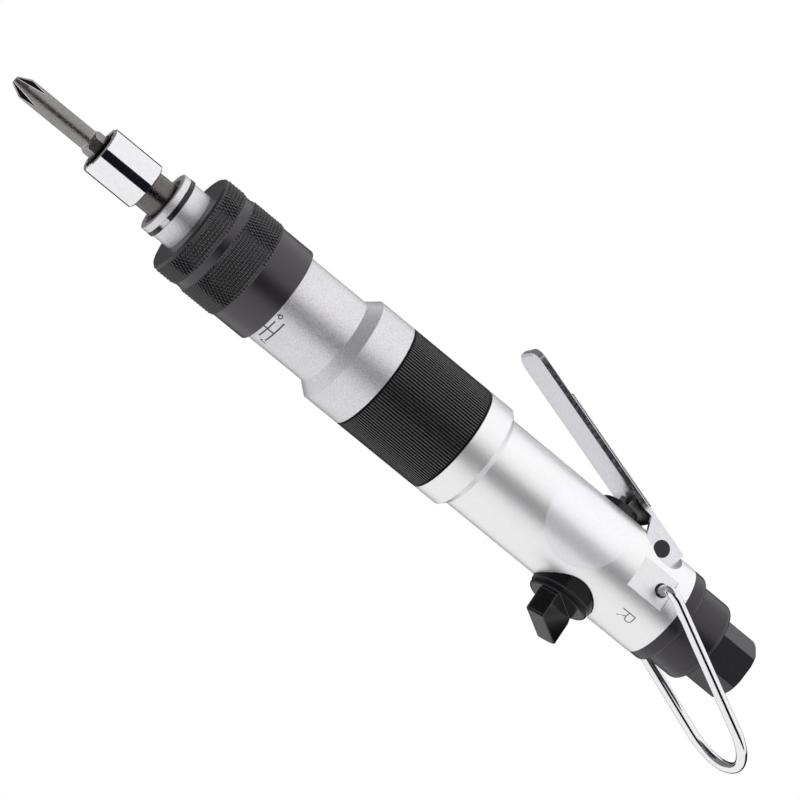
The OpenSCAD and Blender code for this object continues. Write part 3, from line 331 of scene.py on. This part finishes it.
# ---------------------------------------------------------------- pieces of finer shape
def piece(name, verts, faces, material, body, smooth=None):
    """A mesh piece in metres, in the CAD's frame, that rides on a body. Edges sharper than smooth stay sharp."""
    me = bpy.data.meshes.new(name)
    me.from_pydata([tuple(v) for v in verts], [], faces)
    me.validate()
    bm = bmesh.new()
    bm.from_mesh(me)
    bmesh.ops.recalc_face_normals(bm, faces=bm.faces)
    bm.to_mesh(me)
    bm.free()
    me.materials.append(material)
    o = bpy.data.objects.new(name, me)
    scene.collection.objects.link(o)
    if smooth is not None:
        me.shade_smooth()
        me.set_sharp_from_angle(angle=math.radians(smooth))
    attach(o, body)
    return o


def band(a, b, count):
    """Faces between two rings of count points that start at a and at b."""
    return [(a + k, a + (k + 1) % count, b + (k + 1) % count, b + k) for k in range(count)]


def loops_between(me):
    """Closed runs of points between the faces of the first and of the second material."""
    kinds, links = {}, {}
    spot = [tuple(round(c, 7) for c in v.co) for v in me.vertices]
    for p in me.polygons:
        for a, b in p.edge_keys:
            kinds.setdefault(tuple(sorted((spot[a], spot[b]))), set()).add(p.material_index)
    for (a, b), kind in kinds.items():
        if len(kind) == 2:
            links.setdefault(a, []).append(b)
            links.setdefault(b, []).append(a)
    left, runs = set(links), []
    while left:
        here = min(left)
        left.discard(here)
        run = [here]
        while True:
            ahead = [q for q in sorted(links[here]) if q in left]
            if not ahead:
                break
            here = ahead[0]
            left.discard(here)
            run.append(here)
        runs.append([Vector(q) for q in run])
    return runs


def flute_highlight_lines():
    """Painted highlights along the edges of the bit's flutes: a fine bright rounded line along each."""
    r, sides, least_step, bit_tip = 0.00009, 6, 0.0001, -0.0289
    verts, faces = [], []
    for run in loops_between(nodes["bit"].data):
        points = []
        for q in run:
            q.x = max(q.x, bit_tip + r)
            if not points or (q - points[-1]).length > least_step:
                points.append(q)
        if len(points) < 4:
            continue
        if (points[0] - points[-1]).length < least_step:
            points.pop()
        start, n = len(verts), len(points)
        for i, q in enumerate(points):
            along = (points[(i + 1) % n] - points[i - 1]).normalized()
            out = Vector((0, q.y, q.z)).normalized()
            across = along.cross(out).normalized()
            out = across.cross(along).normalized()
            for k in range(sides):
                a = 2 * math.pi * k / sides
                w = q + r * (math.cos(a) * out + math.sin(a) * across)
                w.x = max(w.x, bit_tip)
                verts.append(w)
        for i in range(n):
            faces += band(start + i * sides, start + (i + 1) % n * sides, sides)
    piece("bit_highlight_lines", verts, faces, FLUTE_HIGHLIGHT, "spindle", 60)


# painted highlight: the bright lines along the flute edges
FLUTE_HIGHLIGHT = finish_of("flute_highlight_paint", (0.80, 0.79, 0.79), (0.95, 0.94, 0.94), 0.5, (0.25, 0.4), 2600, 1e-5)
flute_highlight_lines()


def knurled_collar():
    """Adjusting collar with its fine diamond knurl in two bands."""
    count = 86
    around = 2 * count
    peak, low, row_pitch = 15.7, 15.22, 1.02
    front_band, rear_band = (33.0, 39.6), (42.1, 53.1)
    # (x, radius) of the plain turned parts, from the front bore round the outside and back through the bore
    front = ((32.2, 9.1), (32.2, 14.85), (32.42, 15.05), (32.9, 15.5), (32.98, 15.15))
    groove = ((39.62, 15.2), (42.08, 15.2))
    skirt = ((53.12, 15.15), (53.4, 15.15), (63.55, 15.15), (63.76, 15.06), (63.85, 14.85), (63.85, 13.95))
    bore = ((52.4, 13.95), (52.4, 11.65), (35.7, 11.65), (35.7, 9.1))
    verts, faces = [], []

    def ring(x, radius):
        """Ring of points; radius(k) is the radius of the point k."""
        for k in range(around):
            a = math.pi / count * k
            r = radius(k)
            verts.append((x / MM, r / MM * math.cos(a), r / MM * math.sin(a)))
        return len(verts) - around

    def join(a, b):
        for k in range(around):
            m = (k + 1) % around
            faces.append((b + k, a + k, a + m, b + m))

    def turned(last, profile):
        """Plain rings through the profile's points, each joined to the one before; returns the newest."""
        for x, r in profile:
            new = ring(x, lambda k: r)
            if last is not None:
                join(last, new)
            last = new
        return last

    def knurl(x0, x1):
        """Rows of four-sided points; each field between four of them folds along its groove."""
        rows = round((x1 - x0) / row_pitch)
        starts = []
        for i in range(rows + 1):
            top = peak if 0 < i < rows else (peak + low) / 2
            starts.append(ring(x0 + (x1 - x0) * i / rows, lambda k: top if (i + k) % 2 == 0 else low))
        for i in range(rows):
            for k in range(around):
                m = (k + 1) % around
                a, b, c, d = starts[i] + k, starts[i] + m, starts[i + 1] + m, starts[i + 1] + k
                if (i + k) % 2 == 0:
                    faces.extend([(a, b, d), (b, c, d)])
                else:
                    faces.extend([(a, b, c), (a, c, d)])
        return starts[0], starts[-1]

    last = turned(None, front)
    for ends, after in ((front_band, groove), (rear_band, skirt + bore)):
        first, rear = knurl(*ends)
        join(last, first)
        last = turned(rear, after)
    join(last, 0)
    o = piece("collar_knurled", verts, faces, MATERIALS["black_anodised"], "collar", 24)
    # the knurled faces take the darker finish: painted shade, with painted highlights on the ridges
    second_finish(o.data, MATERIALS["knurl_painted_shade"], lambda p: len(p.vertices) == 3)
    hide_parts("adjust_collar")


knurled_collar()

# Springs inside, each copied as a mesh of its own that rides on its body in place of the CAD part:
# node, joint, axis, the end that stays (m), the joint's travel and the free length (mm)
SPRINGS = (
    ("clutch_spring", "collar_slide", (1, 0, 0), (0.06065, 0, 0), 3.85, 14.9),
    ("chuck_spring", "sleeve_slide", (1, 0, 0), (0.01385, 0, 0), 3.5, 7.6),
    ("throttle_spring", "stem_slide", (0, 0, 1), (0.1793, 0, -0.00453), 2.3, 5.68),
)
BODY = {n: b for b, names in frame["record"]["behaviour"]["bodies"].items() for n in names}
for node, joint, axis, anchor, travel, length in SPRINGS:
    spring = bpy.data.objects.new(node + "_coil", nodes[node].data.copy())
    scene.collection.objects.link(spring)
    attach(spring, BODY[node])
    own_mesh(spring)
    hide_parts(node)


def bail_wire():
    """Hanging bail as one round wire: from the near tip round the end to the far tip."""
    r, taper, drop, pivot_x = 1.6, math.radians(8.8), math.radians(23.7), 198.4
    bend_r, end_r, reach, tip_y = 3.2, 14.0, 56.28, 10.14
    bend_steps, leg_steps, end_steps, sides = 16, 8, 32, 28
    end_x = reach - end_r
    root_y = end_r / math.cos(taper) + end_x * math.tan(taper)
    bend_y = root_y - bend_r * (1 / math.cos(taper) + math.tan(taper))
    # (x, y, heading): the straight tip in the housing, the bend, the leg and the round end
    path = [(0.0, y, math.pi / 2) for y in (tip_y, tip_y + 0.5, bend_y - 0.4)]
    for i in range(bend_steps + 1):
        a = (math.pi / 2 + taper) * i / bend_steps
        path.append((bend_r * (1 - math.cos(a)), bend_y + bend_r * math.sin(a), math.pi / 2 - a))
    x0, y0 = path[-1][0], path[-1][1]
    x1, y1 = end_x + end_r * math.sin(taper), end_r * math.cos(taper)
    for i in range(1, leg_steps):
        path.append((x0 + (x1 - x0) * i / leg_steps, y0 + (y1 - y0) * i / leg_steps, -taper))
    mirrored = len(path)
    for i in range(end_steps + 1):
        a = taper + (math.pi - 2 * taper) * i / end_steps
        path.append((end_x + end_r * math.sin(a), end_r * math.cos(a), -a))
    path += [(x, -y, math.pi - h) for x, y, h in reversed(path[:mirrored])]

    verts, faces = [], []
    for x, y, h in path:
        for j in range(sides):
            a = 2 * math.pi * j / sides
            px = x - r * math.cos(a) * math.sin(h)
            py = y + r * math.cos(a) * math.cos(h)
            pz = r * math.sin(a)
            wx = pivot_x + px * math.cos(drop) + pz * math.sin(drop)
            wz = -px * math.sin(drop) + pz * math.cos(drop)
            verts.append((wx / MM, py / MM, wz / MM))
    last = len(path) - 1
    for k in range(last):
        faces += band(k * sides, (k + 1) * sides, sides)
    faces.append(tuple(reversed(range(sides))))
    faces.append(tuple(range(last * sides, (last + 1) * sides)))
    o = piece("bail_wire", verts, faces, MATERIALS["chrome"], "bail", 60)
    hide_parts("bail")


bail_wire()

# Lever: one pressed sheet with a short flange round its edge and two flat ears for the pin.
# Half its width, its sheet's thickness, and its back's height over the pin (mm)
LEVER_HALF, LEVER_T, LEVER_TOP = 7.3, 1.2, 4.38


def on_lever(u, y, v):
    """Point in metres from the lever's own places: along it from the pin, across it, and up from the pin."""
    x = PIN_X - u * math.cos(SLOPE) + v * math.sin(SLOPE)
    z = PIN_Z + u * math.sin(SLOPE) + v * math.cos(SLOPE)
    return (x / MM, y / MM, z / MM)


def lever_outline(start, length, corners):
    """Edge of the sheet in plan, from the near ear round the tip to the far ear: place and outward direction.
    corners are the radii of the near and the far corner of the tip."""
    steps, corner_steps = 24, 12
    quarter = [math.pi / 2 * (i / corner_steps - 1) for i in range(corner_steps + 1)]
    sides = []
    for corner in corners:
        straight, inset = length - corner, LEVER_HALF - corner
        side = [(start + (straight - start) * (i / steps) ** 1.5, -LEVER_HALF, 0.0, -1.0) for i in range(steps)]
        side += [(straight + corner * math.cos(a), -inset + corner * math.sin(a), math.cos(a), math.sin(a))
                 for a in quarter]
        sides.append(side)
    return sides[0] + [(u, -y, nu, -ny) for u, y, nu, ny in reversed(sides[1])]


def lever_sheet(verts, faces):
    """The sheet with its flange. The near flange leans in towards its lower edge, and the far one stands
    square and is a little shorter; round the tip the one turns into the other."""
    start, length, corners = 6.5, 66.2, (3.4, 5.2)
    bend, near_low, far_low, lean = 0.25, 2.58, 3.17, math.tan(math.radians(13))
    web_low, web_end, flange_start = 3.1, 9.6, 12.4   # the lower edge between the ears, and where it turns
    blend_half, near_bend, beside_bend, sunk_by = 5.0, 0.06, 0.08, 0.02
    eighths = [math.pi / 8 * k for k in range(5)]
    rows = []
    for u, y, nu, ny in lever_outline(start, length, corners):
        share = min(max((u - web_end) / (flange_start - web_end), 0), 1)
        far = 0.5 + 0.5 * max(-1, min(1, y / blend_half))
        low = web_low + (near_low + (far_low - near_low) * far - web_low) * share
        toe = lean * share * (1 - far)
        # (outward, up) places of the section: outside from the lower edge up, round the bend, then inside
        outer = [(-toe * (LEVER_TOP - bend - low), low), (-toe * near_bend, LEVER_TOP - bend - near_bend)]
        outer += [(bend * (math.cos(a) - 1), LEVER_TOP - bend + bend * math.sin(a)) for a in eighths]
        outer += [(-bend - beside_bend, LEVER_TOP)]
        inner = [(-LEVER_T, LEVER_TOP - LEVER_T), (-LEVER_T - toe * (LEVER_TOP - LEVER_T - low), low)]
        sunk = sunk_by * (1 - share)   # keeps the sheet's side just under the ear's
        row = []
        for d, v in outer + inner:
            row.append(len(verts))
            verts.append(on_lever(u + nu * (d - sunk), y + ny * (d - sunk), v))
        rows.append(row)
    n, k_top, k_web = len(rows), 7, 8
    for a, b in zip(rows, rows[1:]):
        for k in range(k_top):
            faces.append((a[k], b[k], b[k + 1], a[k + 1]))
        faces.append((a[k_web], b[k_web], b[k_web + 1], a[k_web + 1]))
        faces.append((a[k_web + 1], b[k_web + 1], b[0], a[0]))
    for i in range(n // 2 - 1):
        a, b, c, d = rows[i], rows[i + 1], rows[n - 2 - i], rows[n - 1 - i]
        faces.append((a[k_top], b[k_top], c[k_top], d[k_top]))
        faces.append((a[k_web], d[k_web], c[k_web], b[k_web]))
    a, b = rows[0], rows[-1]
    faces.append((*a[:k_web], *reversed(b[:k_web]), b[k_web + 1], b[k_web], a[k_web], a[k_web + 1]))


def lever_ears(verts, faces):
    """Flat ear with its pin hole, on both sides."""
    r, back, top, hole_r = 4.1, 5.6, LEVER_TOP, 2.55
    rear_round = [math.pi * (1 + i / 24) for i in range(13)]
    low_round = [math.radians(4 * i) for i in range(11)]
    corners = [(3.4, -2.36), (5.45, -1.6), (9.97, top), (0.4 - back, top), (-back, top - 0.4)]
    edge = [(r - back + r * math.cos(a), r * math.sin(a)) for a in rear_round]
    edge += [(r * math.sin(a), -r * math.cos(a)) for a in low_round]
    edge += corners

    def reach(a):
        """Distance from the pin's middle to the ear's edge in the direction a."""
        c, s = math.cos(a), math.sin(a)
        best = 0.0
        for (x0, y0), (x1, y1) in zip(edge, edge[1:] + edge[:1]):
            dx, dy = x1 - x0, y1 - y0
            den = c * dy - s * dx
            if abs(den) < 1e-9:
                continue
            d, q = (x0 * dy - y0 * dx) / den, (x0 * s - y0 * c) / den
            if d > 0 and -1e-6 <= q <= 1 + 1e-6:
                best = max(best, d)
        return best

    angles = [math.radians(5 * i) - math.pi for i in range(72)] + [math.atan2(y, x) + 1e-6 for x, y in corners]
    angles.sort()
    m = len(angles)
    for side in (-1, 1):
        rings = []
        for y in (LEVER_HALF, LEVER_HALF - LEVER_T):
            for size in (None, hole_r):
                rings.append(len(verts))
                for a in angles:
                    d = size or reach(a)
                    verts.append(on_lever(d * math.cos(a), side * y, d * math.sin(a)))
        out, hole, out_in, hole_in = rings
        for i in range(m):
            j = (i + 1) % m
            quads = [(out + i, out + j, hole + j, hole + i),
                     (out_in + j, out_in + i, hole_in + i, hole_in + j),
                     (out + j, out + i, out_in + i, out_in + j),
                     (hole + i, hole + j, hole_in + j, hole_in + i)]
            faces.extend(q if side == 1 else tuple(reversed(q)) for q in quads)


def pressed_lever():
    verts, faces = [], []
    lever_sheet(verts, faces)
    lever_ears(verts, faces)
    o = piece("lever_pressed", verts, faces, LEVER, "lever", 28)
    down = Vector((-math.sin(SLOPE), 0, -math.cos(SLOPE)))
    inner_y = 0.00705

    def inside(p):
        c, n = p.center, p.normal
        faces_in = n.y > 0.5 and c.y < 0 or n.y < -0.5 and c.y > 0
        return n.dot(down) > 0.9 or abs(c.y) < inner_y and faces_in

    second_finish(o.data, LEVER_INSIDE, inside)
    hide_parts("lever")


def lever_teeth():
    """Fine cross teeth on the lever's back, for the thumb: their sides painted dark as the shade between the
    teeth, their tops in the lever's bright steel.
    """
    first, last, pitch, rise, sunk, half = 11.2, 50.0, 0.55, 0.55, 0.3, 7.05
    count = round((last - first) / pitch)
    section = [(first, -sunk), (first, -0.05)]
    for i in range(count):
        u = first + pitch * i
        section += [(u + 0.35 * pitch, rise), (u + 0.65 * pitch, rise), (u + pitch, 0.0)]
    section += [(first + pitch * count, -sunk)]
    n = len(section)
    verts = [on_lever(u, y, LEVER_TOP + v) for y in (-half, half) for u, v in section]
    faces = [(i, (i + 1) % n, n + (i + 1) % n, n + i) for i in range(n)]
    faces += [tuple(reversed(range(n))), tuple(range(n, 2 * n))]
    o = piece("lever_teeth", verts, faces, TEETH_SHADE, "lever", 20)
    up = Vector((math.sin(SLOPE), 0, math.cos(SLOPE)))
    second_finish(o.data, LEVER, lambda p: p.normal.dot(up) > 0.98)


# painted shade: near-black for the teeth's sides
TEETH_SHADE = finish_of("lever_teeth_painted_shade", (0.008, 0.008, 0.009), (0.02, 0.02, 0.022), 0.0, (0.35, 0.5), 2600,
                  2e-5, spec=0.2)
pressed_lever()
lever_teeth()


# ---------------------------------------------------------------- marks on the housing
def ink(name, colour, rough):
    m, t, p = tree_of(name)
    f = noise(t, coords(t), 5200)
    dark, light = (tuple(share * c for c in colour) for share in (0.6, 1.5))
    t.links.new(mix(t, f, dark, light), p.inputs["Base Color"])
    t.links.new(spread(t, f, rough - 0.1, rough + 0.1), p.inputs["Roughness"])
    return m


MARK = ink("mark_fill", (0.012, 0.012, 0.014), 0.5)
ENGRAVED = ink("engraving", (0.10, 0.095, 0.10), 0.5)
LINE_WIDTH, NUMBER_WIDTH = 0.4, 0.3
NECK_R, TUBE_R = 13.8, 14.7


def on_housing(x, angle, r):
    """Point in metres on a cylinder round the tool's axis; the angle is 0 on the near side and grows upwards."""
    return (x / MM, -r / MM * math.cos(angle), r / MM * math.sin(angle))


def stroke(points, width, r, verts, faces):
    """One stroke of a mark, a thin strip of fill: points are (x, angle) on a cylinder of radius r."""
    rise, root = 0.012, -0.05
    flat = [(x, a * r) for x, a in points]
    start, n = len(verts), len(flat)
    for i, (x, y) in enumerate(flat):
        x0, y0 = flat[max(i - 1, 0)]
        x1, y1 = flat[min(i + 1, n - 1)]
        d = math.hypot(x1 - x0, y1 - y0)
        nx, ny = -(y1 - y0) / d * width / 2, (x1 - x0) / d * width / 2
        for h in (rise, root):
            for side in (1, -1):
                verts.append(on_housing(x + side * nx, (y + side * ny) / r, r + h))
    for i in range(n - 1):
        k, m = start + 4 * i, start + 4 * (i + 1)
        faces.append((k, k + 1, m + 1, m))
        faces.append((k + 2, m + 2, m + 3, k + 3))
        faces.append((k, m, m + 2, k + 2))
        faces.append((k + 1, k + 3, m + 3, m + 1))
    faces.append((start, start + 2, start + 3, start + 1))
    e = start + 4 * (n - 1)
    faces.append((e, e + 1, e + 3, e + 2))


def scale_marks():
    """Clutch scale on the neck: a reference line, two rings of the scale and plain numbers."""
    r, verts, faces = NECK_R, [], []
    mid = -math.radians(57)
    front_x, rear_x, line_x = 65.4, 67.7, 64.1
    ring_steps, loop_steps = 12, 14
    for x, below, above in ((front_x, 4.3, 3.3), (rear_x, 4.5, 4.5)):
        first, last = mid - below / r, mid + above / r
        ring = [(x, first + (last - first) * i / ring_steps) for i in range(ring_steps + 1)]
        stroke(ring, LINE_WIDTH, r, verts, faces)
    stroke([(line_x, mid), (rear_x, mid)], LINE_WIDTH, r, verts, faces)
    # the number 6 beside the first ring: its loop, then its tail
    c, a6 = 65.5, mid + 5.3 / r
    circle = [2 * math.pi * i / loop_steps for i in range(loop_steps + 1)]
    six = [(c + 0.15 + 0.5 * math.cos(t), a6 + 0.62 * math.sin(t) / r) for t in circle]
    stroke(six, NUMBER_WIDTH, r, verts, faces)
    tail = [(c - 0.22, a6 + 0.5 / r), (c - 0.65, a6 + 0.25 / r), (c - 0.85, a6 - 0.35 / r)]
    stroke(tail, NUMBER_WIDTH, r, verts, faces)
    # the number 1 beside the second ring: its stem, then its flag
    a1, foot, head = mid - 5.6 / r, rear_x - 1.1, rear_x + 0.9
    stroke([(foot, a1), (head, a1)], NUMBER_WIDTH, r, verts, faces)
    stroke([(foot, a1), (foot + 0.55, a1 + 0.7 / r)], NUMBER_WIDTH, r, verts, faces)
    piece("scale_marks", verts, faces, MARK, "housing")


def letters():
    """Generic letters F and R for the knob's two ways: tops towards the tail, one on each side of the knob."""
    width, height, centre_x = 3.0, 4.6, 195.2
    near = -math.radians(48.6)
    half_circle = [math.pi * i / 8 for i in range(9)]
    bow = [(0, 1), (0.55, 1)]
    bow += [(0.55 + 0.38 * math.sin(q), 0.76 + 0.24 * math.cos(q)) for q in half_circle]
    bow += [(0.0, 0.52)]
    stem = [(0, 0), (0, 1)]
    verts, faces = [], []
    for mid, strokes in ((near, (stem, bow, [(0.45, 0.52), (0.95, 0)])),
                         (-math.pi - near, (stem, [(0, 1), (0.9, 1)], [(0, 0.52), (0.75, 0.52)]))):
        for s in strokes:
            points = [(centre_x + (v - 0.5) * height, mid + (0.5 - u) * width / TUBE_R) for u, v in s]
            stroke(points, NUMBER_WIDTH, TUBE_R, verts, faces)
    piece("knob_letters", verts, faces, ENGRAVED, "housing")


scale_marks()
letters()


def label_disc():
    """Plain satin disc where the photograph has a printed label."""
    reach, thickness, rings, count = 12.4, 0.045, 14, 96
    centre_x, mid = 169.7, math.radians(3.0)
    verts = []
    for k in range(1, rings + 1):
        d = reach * k / rings
        h = thickness if k < rings else 0.0
        for i in range(count):
            a = 2 * math.pi * i / count
            verts.append(on_housing(centre_x + d * math.cos(a), mid + d * math.sin(a) / TUBE_R, TUBE_R + h))
    faces = []
    for k in range(rings - 1):
        faces += band(k * count, (k + 1) * count, count)
    faces.append(tuple(range(count)))
    piece("label_disc", verts, faces, LABEL, "housing", 50)


LABEL = finish_of("label_film", (0.80, 0.80, 0.85), (0.91, 0.91, 0.95), 0.52, (0.32, 0.40), 1800, 1e-5)
label_disc()


# ---------------------------------------------------------------- studio
def mixed(t, share, a, b):
    """Shader a, or b where share is 1."""
    m = t.nodes.new("ShaderNodeMixShader")
    for value, socket in zip((share, a, b), m.inputs):
        t.links.new(value, socket)
    return m.outputs[0]


def seen_directly(t):
    """1 for what the camera, a glossy surface or glass sees."""
    ray = t.nodes.new("ShaderNodeLightPath").outputs
    either = calc(t, "MAXIMUM", ray["Is Camera Ray"], ray["Is Glossy Ray"])
    return calc(t, "MAXIMUM", either, ray["Is Transmission Ray"])


def world_light():
    """White where it is seen, and a softer white as light."""
    w = bpy.data.worlds.new("studio")
    scene.world = w
    w.use_nodes = True
    t = w.node_tree
    t.nodes.clear()
    out = t.nodes.new("ShaderNodeOutputWorld")

    def white(strength):
        b = t.nodes.new("ShaderNodeBackground")
        b.inputs["Color"].default_value = (1, 1, 1, 1)
        b.inputs["Strength"].default_value = strength
        return b.outputs[0]

    t.links.new(mixed(t, seen_directly(t), white(0.6), white(1.0)), out.inputs["Surface"])


def area(name, place, aim, size, power):
    """Soft lamp that no glossy surface mirrors."""
    d = bpy.data.lights.new(name, "AREA")
    d.shape = "RECTANGLE"
    d.size, d.size_y = size
    d.energy = power
    o = bpy.data.objects.new(name, d)
    scene.collection.objects.link(o)
    o.location = place
    o.rotation_mode = "QUATERNION"
    o.rotation_quaternion = (aim - place).to_track_quat("-Z", "Y")
    o.visible_glossy = False


def plane(name, centre, right, up, width, height, material):
    """Flat piece of the studio."""
    r, u = right.normalized() * width / 2, up.normalized() * height / 2
    me = bpy.data.meshes.new(name)
    me.from_pydata([centre - r - u, centre + r - u, centre + r + u, centre - r + u], [], [(0, 1, 2, 3)])
    me.materials.append(material)
    o = bpy.data.objects.new(name, me)
    scene.collection.objects.link(o)
    return o


def card(name, centre, right, up, width, height, material):
    """Card that only glossy surfaces see."""
    c = plane(name, centre, right, up, width, height, material)
    c.visible_camera = c.visible_shadow = c.visible_diffuse = c.visible_transmission = False


def card_paint(name, colour):
    m, t, p = tree_of(name)
    p.inputs["Base Color"].default_value = (*colour, 1)
    p.inputs["Roughness"].default_value = 1.0
    p.inputs["Specular IOR Level"].default_value = 0.0
    return m


def floor_paint():
    """Pale floor with a little mottling, which looks nearly white where it is seen directly."""
    m, t, p = tree_of("pale_floor")
    f = noise(t, coords(t), 3.0)
    t.links.new(mix(t, f, (0.86, 0.86, 0.86), (0.90, 0.90, 0.90)), p.inputs["Base Color"])
    p.inputs["Roughness"].default_value = 0.9
    p.inputs["Specular IOR Level"].default_value = 0.1
    glow = t.nodes.new("ShaderNodeEmission")
    glow.inputs["Color"].default_value = (0.97, 0.97, 0.97, 1)
    out = next(n for n in t.nodes if n.type == "OUTPUT_MATERIAL")
    t.links.new(mixed(t, seen_directly(t), p.outputs["BSDF"], glow.outputs[0]), out.inputs["Surface"])
    return m


world_light()
MIDDLE = Vector((0.11, 0, 0))
area("key", MIDDLE + 0.7 * SIDE + 0.45 * NEAR, MIDDLE, (0.8, 0.6), 5)
area("fill", MIDDLE - 0.7 * SIDE + 0.45 * NEAR, MIDDLE, (0.8, 0.6), 4)

# Dark band in front and behind, as between two long softboxes
DARK_CARD = card_paint("dark_card", (0.012, 0.011, 0.017))
GREY_CARD = card_paint("grey_card", (0.30, 0.30, 0.31))
card("card_front", MIDDLE + 0.9 * NEAR - 0.014 * SIDE, AXIS, SIDE, 9.0, 0.73, DARK_CARD)
card("card_behind", MIDDLE - 0.9 * NEAR + 4.5 * AXIS, AXIS, SIDE, 9.0, 1.2, DARK_CARD)
card("card_back", MIDDLE - 0.92 * NEAR - 2.0 * AXIS, AXIS, SIDE, 4.0, 1.2, GREY_CARD)
card("card_end", MIDDLE - 1.1 * AXIS + 0.3 * NEAR, NEAR, SIDE, 4.4, 4.4, GREY_CARD)

# The floor lies far enough below to stay out of the photograph's view
plane("floor", Vector((0.1, 0, -0.62)), AXIS, Vector((0, 1, 0)), 12.0, 12.0, floor_paint())
